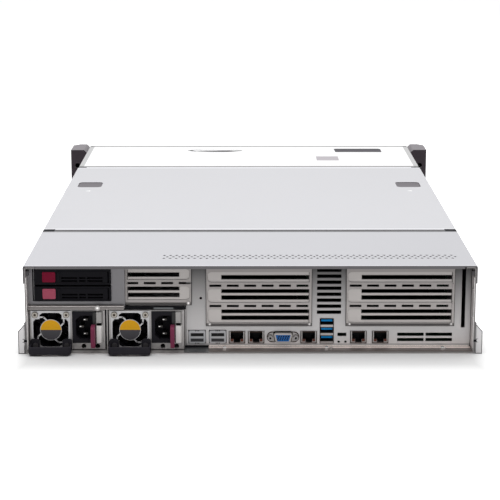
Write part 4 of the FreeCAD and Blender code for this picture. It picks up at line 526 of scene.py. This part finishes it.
# painted shade: a dark strip on the panel round each cage stands for the shade in the gap
gap_line_shade = flat_paint("gap_line_shade", (0.060, 0.055, 0.055), 0.6, 0.1)
BLANK_SHADE = ("Z", 0.035, 0.085, 0.68)
blank_finish = plated_steel("blank_steel", (0.505, 0.475, 0.46), 0.42, grain=0.05, along=(8.0, 60.0, 60.0),
                            shade=BLANK_SHADE)
blank_outline_shade = plated_steel("blank_outline_shade", (0.17, 0.155, 0.15), 0.45, shade=BLANK_SHADE)


def front_and_rear(finish):
    """Gives the faces that look to the front or rear a finish, and the others a dark painted shade."""
    return lambda low, high, face: finish if abs(face.normal.y) > 0.5 else edge_shade


for letter in "abc":
    cage_low, cage_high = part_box("riser_cage_" + letter)
    # painted shade: the cage is painted darker towards the covers. A darker band also runs along its foot.
    riser_finish = plated_steel("riser_steel_" + letter, (0.44, 0.41, 0.40), 0.42, grain=0.05,
                                along=(8.0, 60.0, 60.0), shade=("Z", 0.028, 0.085, 0.50),
                                bands=[("Z", cage_low.z + 0.0013, 0.0014, 0.32)])
    dress_by_face("riser_cage_" + letter, front_and_rear(riser_finish))
    panel_face = cage_low.y + CAGE_PROUD
    shape = bmesh.new()
    for low_x, high_x, low_z, high_z in ((cage_low.x - GAP, cage_low.x, cage_low.z - GAP, cage_high.z),
                                         (cage_high.x, cage_high.x + GAP, cage_low.z - GAP, cage_high.z),
                                         (cage_low.x, cage_high.x, cage_low.z - GAP, cage_low.z)):
        add_slab(shape, (low_x, panel_face, low_z), (high_x, panel_face + GAP_T, high_z))
    piece_from(shape, "riser_gap_line_" + letter, gap_line_shade, "chassis")
dress_by_face("slot_blanks", front_and_rear(blank_finish),
              rim=(BLANK_LINE, blank_outline_shade, to_the_rear(0.0003)))

# ---------------------------------------------------------------- moulded pieces
# Glass filled nylon with a fine spark-eroded texture: ears, handles, inlets, fan parts, carriers and pads.
# The tops of the ears are painted lighter than their faces, as painted light from above.


def moulded_plastic(name, colour, roughness, texture=0.12, specular=0.3):
    """Moulded plastic: an even colour, a fine pebbled surface and slightly uneven gloss."""
    material, tree, shader, place = new_material(name, Specular_IOR_Level=specular)
    links = tree.links
    pebble = add_node(tree, "TexNoise", Scale=2600.0, Detail=2.0)
    wear = add_node(tree, "TexNoise", Scale=60.0, Detail=4.0)
    tone = add_tone(tree, colour, 0.9, 1.12)
    gloss = add_node(tree, "MapRange", To_Min=roughness - 0.07, To_Max=roughness + 0.07)
    relief = add_node(tree, "Bump", Strength=texture, Distance=0.0001)
    links.new(place, pebble.inputs["Vector"])
    links.new(place, wear.inputs["Vector"])
    links.new(wear.outputs["Fac"], tone.inputs["Factor"])
    links.new(tone.outputs["Result"], shader.inputs["Base Color"])
    links.new(wear.outputs["Fac"], gloss.inputs["Value"])
    links.new(gloss.outputs["Result"], shader.inputs["Roughness"])
    links.new(pebble.outputs["Fac"], relief.inputs["Height"])
    links.new(relief.outputs["Normal"], shader.inputs["Normal"])
    return material


black_nylon = moulded_plastic("black_nylon", (0.007, 0.0065, 0.009), 0.42, specular=0.06)
handle_nylon = moulded_plastic("handle_nylon", (0.034, 0.032, 0.039), 0.6, specular=0.0)
inlet_nylon = moulded_plastic("inlet_nylon", (0.017, 0.016, 0.020), 0.5, specular=0.06)
# painted light: the ears get a lit copy of their plastic on top and a shaded copy on their faces
ear_plastic = moulded_plastic("ear_plastic", (0.052, 0.042, 0.050), 0.50, specular=0.1)
ear_lit_top = moulded_plastic("ear_lit_top", (0.175, 0.162, 0.176), 0.50)
pad_plastic = moulded_plastic("pad_plastic", (0.105, 0.097, 0.108), 0.52)
for node in ("ear_left", "ear_right"):
    dress_by_face(node, lambda low, high, face: ear_lit_top if face.normal.z > 0.4 else ear_plastic)
for node in ("cover_pad_left", "cover_pad_right", "power_button"):
    dress(node, pad_plastic)
for node in ("fan_frames", "drive_blanks"):
    dress(node, black_nylon)
for number in range(1, 5):
    dress("fan_rotor_" + str(number), black_nylon)
    dress("front_lever_" + str(number), pad_plastic)

# ---------------------------------------------------------------- drives
# A plain steel cage with a rolled lip holds the two rear carriers, the front cage four; the lip carries
# painted highlight lines along its top and bottom. A carrier is black nylon, at the rear with a crimson
# release button, the upper one painted darker than the lower as shade, and its drive is a cast and pressed
# aluminium block.
LIP = 0.0040              # depth of the lip, from the rear of the cage
REAR_BEZEL, FRONT_BEZEL = 0.072, 0.103           # only the bezel of a carrier is wider than this
# painted shade: the upper button is painted darker than the lower
BUTTON_COLOURS = {"lower": (0.46, 0.095, 0.150), "upper": (0.23, 0.010, 0.036)}
cage_low, cage_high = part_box("rear_drive_cage")
cage_finish = plated_steel("cage_steel", (0.175, 0.17, 0.178), 0.40, grain=0.05, along=(8.0, 60.0, 60.0))
# painted highlights: bright bands along the top and bottom of the lip
lip_finish = plated_steel("lip_steel", (0.088, 0.081, 0.079), 0.32, grain=0.06, metallic=0.6,
                          bands=[("Z", cage_low.z + 0.0030, 0.0008, 3.4),
                                 ("Z", cage_low.z + 0.0005, 0.0006, 3.0)])
drive_metal = plated_steel("drive_metal", (0.52, 0.52, 0.53), 0.45, grain=0.06)


def by_width(limit, wide, narrow):
    """Gives the solids that are wider than the limit one finish and the others another."""
    return lambda low, high, face: wide if high.x - low.x > limit else narrow


def by_height(limit, tall, short):
    """Gives the solids that are taller than the limit one finish and the others another."""
    return lambda low, high, face: tall if high.z - low.z > limit else short


dress_by_face("rear_drive_cage", lambda low, high, face: lip_finish
              if face.calc_center_median().y < low.y + LIP else cage_finish)
for row, colour in BUTTON_COLOURS.items():
    dress("rear_lever_" + row, black_nylon)
    dress("rear_button_" + row, moulded_plastic("crimson_" + row, colour, 0.40, specular=0.05))
    dress_by_face("rear_carrier_" + row, by_width(REAR_BEZEL, black_nylon, drive_metal))
for number in range(1, 5):
    dress_by_face("front_carrier_" + str(number), by_width(FRONT_BEZEL, black_nylon, drive_metal))

# ---------------------------------------------------------------- power supplies
# Steel case, black fan, handle and inlet, and a dull crimson grip on a bright spring plate whose upper part
# is painted dark as shade, with a near-black strip of painted shade along its left part. The bright guard is
# cut
# from one plate: a frame with a cross-shaped window, a hub with a round label in two colours, and four
# cranked arms set like a pinwheel. Its screws carry painted shade round and in their heads, the lower ones
# painted dark behind the handle, and the inlet blades are painted dark as shade in the mouth, with a painted
# highlight at each tip.
GUARD_T = 0.0008          # thickness of the plate
HUB_R = 0.0105            # round middle of the guard
LABEL_R = 0.0100          # its round label, which leaves a bright rim
LABEL_PROUD, ROUND_LABEL_T = 0.00010, 0.00012
ARM = ((-0.0035, 0.0092), (-0.0070, 0.0127), (-0.0122, 0.0127))     # one arm, from hub to corner
ARM_W = 0.0014
GUARD_QUARTER = ((-0.0108, 0.0108), (-0.0108, 0.0150), (-0.0080, 0.0171), (0.0080, 0.0171),
                 (0.0108, 0.0150))                 # a quarter of the edge of its window
HEAD_MAX = 0.02           # screw heads are narrower than this, the lower ones this far below the guard's top
SCREW_RINGS = ((0.0031, 20, "recess"), (0.0027, 20, "ring"), (0.0014, 5, "recess"))    # painted shade rim, a slope of metal and a painted shade star
RING_STEP = 0.00006
SPRING_FROM = 0.0650      # the bright part of the spring plate, from the left side of the case; a strip of painted shade lies just left of it
CASE_MIN, GRIP_MAX, BLADE_MAX = 0.06, 0.025, 0.01     # width of the case, heights of the grip and of a blade
INLET_MARGIN = 0.0026     # moulded side of the inlet next to the grip
INLET_LAP, INLET_IN = 0.0005, 0.00005            # it laps onto the inlet, and keeps this far behind its rim
BLADE_GLINT = (0.0003, 0.0018, 0.0003, 0.0004)     # painted highlight at a blade's tip: from and to its left end, below and above its middle
GLINT_PROUD, GLINT_DEEP = 0.00005, 0.0004
RIB_DOWN = 0.0010         # rib under the bar of the handle
RIB_UP, RIB_DEPTH, RIB_ROUND = 0.0020, 0.0043, 0.004
RIB_IN = 0.0001           # the rib keeps this far inside the outline of the bar
ARM_IN = 0.0001           # the arms are this much thinner than the plate, on either side
ARM_LAP = 0.8             # the two halves of an arm overlap by this share of its width
guard_finish = plated_steel("guard_steel", (0.48, 0.475, 0.485), 0.34)
case_finish = plated_steel("case_steel", (0.37, 0.355, 0.35), 0.38)
# painted shade: the blades are painted dark, as they lie deep in the inlet's mouth
blade_shade = plated_steel("blade_shade_metal", (0.045, 0.042, 0.040), 0.35, metallic=0.9)
ring_metal = plated_steel("ring_metal", (0.40, 0.37, 0.33), 0.35, metallic=0.4)
grip_plastic = moulded_plastic("grip_plastic", (0.20, 0.036, 0.078), 0.42, specular=0.08)
yellow_ink = flat_paint("yellow_ink", (0.92, 0.47, 0.018), 0.45, 0.1)
slate_ink = flat_paint("slate_ink", (0.060, 0.057, 0.066), 0.45)


def quarter_turns(u, v):
    """A point of the guard, from the middle of its hub, and the same point on the other three sides."""
    return [(u, v), (v, -u), (-u, -v), (-v, u)]


for side in ("left", "right"):
    supply = "psu_" + side
    case_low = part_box(supply + "_case")[0]
    guard_low, guard_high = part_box(supply + "_guard")
    fan_x, fan_z = (guard_low.x + guard_high.x) / 2, (guard_low.z + guard_high.z) / 2
    half_side, front = (guard_high.x - guard_low.x) / 2, guard_high.y - GUARD_T
    # painted shade: the spring plate is painted dark on its upper part, and a near-black strip runs just left
    # of its bright part
    spring_finish = plated_steel("spring_steel_" + side, (0.74, 0.72, 0.70), 0.34, metallic=0.4,
                                 shade=("Z", 0.0255, 0.0275, 0.42),
                                 bands=[("X", case_low.x + SPRING_FROM - 0.003, 0.003, 0.03)])

    def on_guard(low, high, face):
        """The finish of a screw head, the lower ones painted dark as shade behind the handle; the frame of
        the guard is left out, since the plate stands for it.
        """
        if high.x - low.x > HEAD_MAX:
            return None
        return edge_shade if high.z < guard_high.z - HEAD_MAX else ring_metal

    dress(supply + "_handle", handle_nylon)
    dress(supply + "_rotor", inlet_nylon)
    bar_low, bar_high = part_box(supply + "_handle")
    shape = bmesh.new()
    add_slab(shape, (bar_low.x + RIB_IN, bar_low.y + RIB_IN, bar_low.z - RIB_DOWN),
             (bar_high.x - RIB_IN, bar_low.y + RIB_DEPTH, bar_low.z + RIB_UP))
    corners = [edge for edge in shape.edges if abs(edge.verts[0].co.z - edge.verts[1].co.z) > 0.001
               and edge.verts[0].co.y < bar_low.y + 0.001]
    bmesh.ops.bevel(shape, geom=corners, offset=RIB_ROUND, segments=6, profile=0.5, affect="EDGES")
    piece_from(shape, supply + "_handle_rib", handle_nylon, supply)
    heads = [box for box in dress_by_face(supply + "_guard", on_guard) if box[1].x - box[0].x < HEAD_MAX]
    dress_by_face(supply + "_case", by_width(CASE_MIN, case_finish, black_nylon))
    inlet = dress_by_face(supply + "_inlet", by_height(BLADE_MAX, inlet_nylon, blade_shade))
    blades = [box for box in inlet if box[1].z - box[0].z < BLADE_MAX]
    dress_by_face(supply + "_latch", by_height(GRIP_MAX, spring_finish, grip_plastic))
    square = quarter_turns(-half_side, half_side)
    window = [quarter_turns(u, v)[turn] for turn in range(4) for u, v in GUARD_QUARTER]
    shape = bmesh.new()
    for loop in (square, window):
        corners = [shape.verts.new((fan_x + u, front, fan_z + v)) for u, v in loop]
        for start, end in zip(corners, corners[1:] + corners[:1]):
            shape.edges.new((start, end))
    bmesh.ops.triangle_fill(shape, use_beauty=True, edges=shape.edges[:])
    raised = bmesh.ops.extrude_face_region(shape, geom=shape.faces[:], use_keep_orig=True)["geom"]
    corners = [corner for corner in raised if isinstance(corner, bmesh.types.BMVert)]
    bmesh.ops.translate(shape, verts=corners, vec=(0, GUARD_T, 0))
    add_disc(shape, (fan_x, front + GUARD_T / 2, fan_z), HUB_R, GUARD_T, sides=48)
    for turn in range(4):
        points = [quarter_turns(u, v)[turn] for u, v in ARM]
        for (u0, v0), (u1, v1) in zip(points, points[1:]):
            run = Vector((u1 - u0, 0, v1 - v0))
            middle = (fan_x + (u0 + u1) / 2, front + GUARD_T / 2 + ARM_IN / 2, fan_z + (v0 + v1) / 2)
            place = (Matrix.Translation(middle) @ Matrix.Rotation(-math.atan2(run.z, run.x), 4, "Y")
                     @ Matrix.Diagonal((run.length + ARM_W * ARM_LAP, GUARD_T - 2 * ARM_IN, ARM_W, 1)))
            bmesh.ops.create_cube(shape, size=1.0, matrix=place)
    piece_from(shape, supply + "_guard_plate", guard_finish, supply)
    for half, word, ink in ((1, "top", yellow_ink), (-1, "bottom", slate_ink)):
        shape = bmesh.new()
        add_disc(shape, (fan_x, front - LABEL_PROUD, fan_z), LABEL_R, ROUND_LABEL_T, sides=48)
        bmesh.ops.bisect_plane(shape, geom=shape.verts[:] + shape.edges[:] + shape.faces[:], dist=1e-7,
                               plane_co=(fan_x, front, fan_z), plane_no=(0, 0, -half), clear_outer=True)
        bmesh.ops.holes_fill(shape, edges=shape.edges)
        piece_from(shape, supply + "_label_" + word, ink, supply)
    for low, high in heads:
        if high.z < fan_z:
            continue
        middle = (low + high) / 2
        end = "left" if middle.x < fan_x else "right"
        for step, (radius, sides, kind) in enumerate(SCREW_RINGS):
            shape = bmesh.new()
            add_disc(shape, (middle.x, low.y - PROUD - RING_STEP * step, middle.z), radius, DISC_T, sides)
            piece_from(shape, f"{supply}_screw_{end}_{step}",
                       recess_shade if kind == "recess" else ring_metal, supply)
    inlet_low, inlet_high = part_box(supply + "_inlet")
    shape = bmesh.new()
    add_slab(shape, (inlet_high.x - INLET_LAP, inlet_low.y + INLET_IN, inlet_low.z),
             (inlet_high.x + INLET_MARGIN, case_low.y, inlet_high.z))
    piece_from(shape, supply + "_inlet_side", inlet_nylon, supply)
    shape = bmesh.new()
    for low, high in blades:
        height = (low.z + high.z) / 2
        add_slab(shape, (low.x + BLADE_GLINT[0], low.y - GLINT_PROUD, height - BLADE_GLINT[2]),
                 (low.x + BLADE_GLINT[1], low.y + GLINT_DEEP, height + BLADE_GLINT[3]))
    piece_from(shape, supply + "_blade_glints", rivet_metal, supply)

# ---------------------------------------------------------------- ports
# Plated shells round black mouths: twin ports with a light plate, network jacks with an amber light low on
# each side, a blue video insert with fifteen contacts, and blue tongues in the serial bus ports. Dark lines
# of painted shade run round the edges of the shells, and the contact holes of the video insert are dark discs
# of painted shade.
WELL = 0.0008             # a face this far inside its shell, all round, belongs to the mouth
RIM = 0.0001              # a face this near the rear of a shell isn't in its mouth; lines are sunk as deep
TWIN_MIN, JACK_MIN = 0.015, 0.012      # only the shells are wider than this
TWIN_MOUTH = 0.0061       # half width
LOWER_MOUTH, UPPER_MOUTH = (0.0020, 0.0050), (0.0075, 0.0105)         # heights from the foot of the port
TWIN_DOTS = 0.0016        # from one dot to the next
DOT_R, DOT_IN = 0.00060, 0.0004
JACK_LIGHT = (0.0035, 0.0064, 0.0020, 0.0047)    # from and to the middle of the jack, bottom and top
JACK_LINE, JACK_FOOT, JACK_LID = 0.0006, 0.0010, (0.0063, 0.0012)     # painted shade lines at the sides, the foot and the top
CONTACT = 0.00075         # radius of the dark disc of painted shade in a contact hole
CONTACT_STEP, CONTACT_ROW, CONTACT_LEAN = 0.0023, 0.0017, 0.0006
VIDEO_MIN, TONGUE_MAX = 0.02, 0.01     # width of the video shell, height of a tongue
TWIN_LINE, VIDEO_LINE, BUS_LINE = 0.0004, 0.0009, 0.0005              # painted shade lines along the edges of the shells
MOUTH_PROUD, LINE_PROUD, LIGHT_PROUD = 0.00004, 0.00006, 0.00008
port_black = flat_paint("port_black", (0.008, 0.008, 0.009), 0.5, 0.15)
mouth_grey = flat_paint("mouth_grey", (0.060, 0.060, 0.064), 0.5, 0.1)
port_steel = plated_steel("port_steel", (0.46, 0.44, 0.43), 0.32)
twin_plate = plated_steel("twin_plate", (0.52, 0.525, 0.545), 0.40, metallic=0.3)
blue_insert = flat_paint("blue_insert", (0.034, 0.19, 0.58), 0.4, 0.1)
blue_tongue = flat_paint("blue_tongue", (0.010, 0.32, 0.80), 0.4, 0.1)
amber_lens = flat_paint("amber_lens", (0.135, 0.046, 0.032), 0.35, 0.2)
twin_outline_shade = flat_paint("twin_outline_shade", (0.24, 0.24, 0.255), 0.5, 0.2)
outline_shade_brown = flat_paint("outline_shade_brown", (0.045, 0.026, 0.020), 0.5, 0.1)


def mouth_or_shell(shell, mouth):
    """Chooses the mouth's finish for the faces inside a shell."""
    def choose(low, high, face):
        at = face.calc_center_median()
        inside = low.x + WELL < at.x < high.x - WELL and low.z + WELL < at.z < high.z - WELL
        return mouth if inside and at.y > low.y + RIM else shell
    return choose


twins = dress_by_face("twin_ports", mouth_or_shell(twin_plate, port_black),
                      rim=(TWIN_LINE, twin_outline_shade, to_the_rear(0.0002)))
mouths, lower_mouths, dots = bmesh.new(), bmesh.new(), bmesh.new()
for low, high in twins:
    if high.x - low.x < TWIN_MIN:
        continue
    middle, front = (low.x + high.x) / 2, low.y - MOUTH_PROUD
    for shape, (bottom, top) in ((lower_mouths, LOWER_MOUTH), (mouths, UPPER_MOUTH)):
        add_slab(shape, (middle - TWIN_MOUTH, front, low.z + bottom),
                 (middle + TWIN_MOUTH, low.y + RIM, low.z + top))
    for across in (-TWIN_DOTS, 0, TWIN_DOTS):
        for height in (low.z + DOT_IN, high.z - DOT_IN):
            add_disc(dots, (middle + across, front, height), DOT_R, DISC_T, sides=8)
piece_from(mouths, "twin_mouths", port_black, "chassis")
piece_from(lower_mouths, "twin_lower_mouths", mouth_grey, "chassis")
piece_from(dots, "twin_dots", port_black, "chassis")
jacks = dress_by_face("network_jacks", mouth_or_shell(port_steel, port_black))
lights, lines = bmesh.new(), bmesh.new()
for low, high in jacks:
    if high.x - low.x < JACK_MIN:
        continue
    middle, front, back = (low.x + high.x) / 2, low.y - LINE_PROUD, low.y + RIM
    for side, edge in ((-1, low.x), (1, high.x)):
        add_slab(lights, (middle + side * JACK_LIGHT[0], low.y - LIGHT_PROUD, low.z + JACK_LIGHT[2]),
                 (middle + side * JACK_LIGHT[1], back, low.z + JACK_LIGHT[3]))
        add_slab(lines, (edge, front, low.z), (edge - side * JACK_LINE, back, high.z))
    add_slab(lines, (low.x, front, low.z), (high.x, back, low.z + JACK_FOOT))
    add_slab(lines, (middle - JACK_LID[0], front, high.z - JACK_LID[1]),
             (middle + JACK_LID[0], back, high.z))
piece_from(lights, "jack_lights", amber_lens, "chassis")
piece_from(lines, "jack_shade_lines", outline_shade_brown, "chassis")
video = dress_by_face("vga_port", by_width(VIDEO_MIN, port_steel, blue_insert),
                      rim=(VIDEO_LINE, outline_shade_brown, lambda low, high, face: high.x - low.x > VIDEO_MIN
                           and face.normal.y < -0.9 and face.calc_center_median().y > low.y + 0.0005))
insert_low, insert_high = min(video, key=lambda box: box[1].x - box[0].x)
middle = (insert_low + insert_high) / 2
contacts = bmesh.new()
for row in (-1, 0, 1):
    for k in range(-2, 3):
        across = k * CONTACT_STEP + row * CONTACT_LEAN
        add_disc(contacts, (middle.x + across, insert_low.y - PROUD, middle.z + row * CONTACT_ROW),
                 CONTACT, DISC_T, sides=8)
piece_from(contacts, "video_contact_shade", port_black, "chassis")
in_shell, on_rim = mouth_or_shell(port_steel, port_black), to_the_rear(0.0003)
dress_by_face("usb_ports", lambda low, high, face: in_shell(low, high, face)
              if high.z - low.z > TONGUE_MAX else blue_tongue,
              rim=(BUS_LINE, outline_shade_brown, lambda low, high, face: high.z - low.z > TONGUE_MAX
                   and on_rim(low, high, face)))

# ---------------------------------------------------------------- boards, memory and heat sinks
# Glass fibre boards with green solder mask, memory modules of the same, and bare aluminium sinks. They are
# seen only with a cover lifted or a power supply drawn out. The green is painted nearly black, as the shade
# inside the chassis.
board_green = moulded_plastic("board_green", (0.006, 0.022, 0.012), 0.40, texture=0.05, specular=0.1)
sink_aluminium = plated_steel("sink_aluminium", (0.78, 0.78, 0.79), 0.35, grain=0.04)
for node in ("system_board", "riser_boards", "memory_modules", "drive_backplanes"):
    dress(node, board_green)
dress("heat_sinks", sink_aluminium)

# ---------------------------------------------------------------- floor
# A pale floor without edges. The view and mirrored rays see it lifted to white, except in a strip close
# behind the server, where its shadow stays.
FLOOR_SIZE, FLOOR_DOWN = 8.0, 0.0002
FLOOR_TONE = 0.71
FLOOR_LIFT = 0.76         # how much light the view adds to the floor away from that strip
LIFT_BEHIND = (0.035, 0.14)        # the lift starts and is full this far behind the rear edge of the tray
LIFT_AHEAD = (0.02, 0.10)          # and this far in front of it
LIFT_BESIDE = (-0.0035, 0.0325)    # and this far beside the side walls
floor_mesh = bpy.data.meshes.new("floor")
shape = bmesh.new()
bmesh.ops.create_grid(shape, x_segments=1, y_segments=1, size=FLOOR_SIZE)
bmesh.ops.translate(shape, verts=shape.verts, vec=(0, 0, -FLOOR_DOWN))
shape.to_mesh(floor_mesh)
shape.free()
floor = bpy.data.objects.new("floor", floor_mesh)
bpy.context.collection.objects.link(floor)
paper, tree, shader, place = new_material(
    "floor_paper", Base_Color=(FLOOR_TONE, FLOOR_TONE, FLOOR_TONE, 1), Roughness=0.95,
    Specular_IOR_Level=0.0, Emission_Color=(1, 1, 1, 1))
links = tree.links
rays = add_node(tree, "LightPath")
apart = add_node(tree, "SeparateXYZ")
seen = add_math(tree, "MAXIMUM")
aside = add_math(tree, "ABSOLUTE")
either = add_math(tree, "MAXIMUM")
any_side = add_math(tree, "MAXIMUM")
seen_lift = add_math(tree, "MULTIPLY")
behind = add_node(tree, "MapRange", From_Min=chassis_low.y - LIFT_BEHIND[0],
                  From_Max=chassis_low.y - LIFT_BEHIND[1])
ahead = add_node(tree, "MapRange", From_Min=chassis_low.y + LIFT_AHEAD[0],
                 From_Max=chassis_low.y + LIFT_AHEAD[1])
beside = add_node(tree, "MapRange", From_Min=chassis_high.x + LIFT_BESIDE[0],
                  From_Max=chassis_high.x + LIFT_BESIDE[1])
lift = add_node(tree, "MapRange", To_Min=0.0, To_Max=FLOOR_LIFT)
links.new(rays.outputs["Is Camera Ray"], seen.inputs[0])
links.new(rays.outputs["Is Glossy Ray"], seen.inputs[1])
links.new(place, apart.inputs["Vector"])
links.new(apart.outputs["Y"], behind.inputs["Value"])
links.new(apart.outputs["Y"], ahead.inputs["Value"])
links.new(apart.outputs["X"], aside.inputs[0])
links.new(aside.outputs["Value"], beside.inputs["Value"])
links.new(behind.outputs["Result"], either.inputs[0])
links.new(ahead.outputs["Result"], either.inputs[1])
links.new(either.outputs["Value"], any_side.inputs[0])
links.new(beside.outputs["Result"], any_side.inputs[1])
links.new(any_side.outputs["Value"], lift.inputs["Value"])
links.new(seen.outputs["Value"], seen_lift.inputs[0])
links.new(lift.outputs["Result"], seen_lift.inputs[1])
links.new(seen_lift.outputs["Value"], shader.inputs["Emission Strength"])
floor_mesh.materials.append(paper)

# ---------------------------------------------------------------- light
# A white room that is dimmer for diffuse light than it looks, and one large soft lamp above and behind the
# server, tilted a little.
ROOM_LIGHT = 0.30         # strength of the room for diffuse light
LAMP_SIZE = (2.6, 2.4)
LAMP_WATTS = 66.0
LAMP_AT = (-0.1, -0.25, 2.2)
LAMP_TILT = -3            # degrees
world = bpy.data.worlds.new("studio")
bpy.context.scene.world = world
world.use_nodes = True
tree = world.node_tree
links = tree.links
rays = add_node(tree, "LightPath")
seen = add_math(tree, "MAXIMUM")
through = add_math(tree, "MAXIMUM")
level = add_node(tree, "MapRange", To_Min=ROOM_LIGHT, To_Max=1.0)
links.new(rays.outputs["Is Camera Ray"], seen.inputs[0])
links.new(rays.outputs["Is Glossy Ray"], seen.inputs[1])
links.new(seen.outputs["Value"], through.inputs[0])
links.new(rays.outputs["Is Transmission Ray"], through.inputs[1])
links.new(through.outputs["Value"], level.inputs["Value"])
links.new(level.outputs["Result"], tree.nodes["Background"].inputs["Strength"])
tree.nodes["Background"].inputs["Color"].default_value = (1, 1, 1, 1)
lamp_data = bpy.data.lights.new("overhead", "AREA")
lamp_data.shape = "RECTANGLE"
lamp_data.size, lamp_data.size_y = LAMP_SIZE
lamp_data.energy = LAMP_WATTS
lamp = bpy.data.objects.new("overhead", lamp_data)
lamp.location = LAMP_AT
lamp.rotation_euler = (math.radians(LAMP_TILT), 0, 0)
bpy.context.collection.objects.link(lamp)

# ---------------------------------------------------------------- camera
# Behind the server and a little above it, with a long lens, looking down and a touch to the right. The
# distances count from the rear edge of the chassis.
CAMERA_BEHIND = 1.584376
CAMERA_ASIDE = -0.005178
CAMERA_UP = 0.458695
LOOK_DOWN = 12.643            # degrees
TURN_RIGHT = 0.1754
LENS = 122.04
camera_data = bpy.data.cameras.new("camera")
camera_data.sensor_width = 36.0
camera_data.lens = LENS
camera_data.dof.use_dof = False
camera = bpy.data.objects.new("camera", camera_data)
camera.location = (CAMERA_ASIDE, chassis_low.y - CAMERA_BEHIND, CAMERA_UP)
camera.rotation_euler = (math.radians(90 - LOOK_DOWN), 0, math.radians(-TURN_RIGHT))
bpy.context.collection.objects.link(camera)
bpy.context.scene.camera = camera
bpy.context.scene.view_settings.view_transform = "Standard"
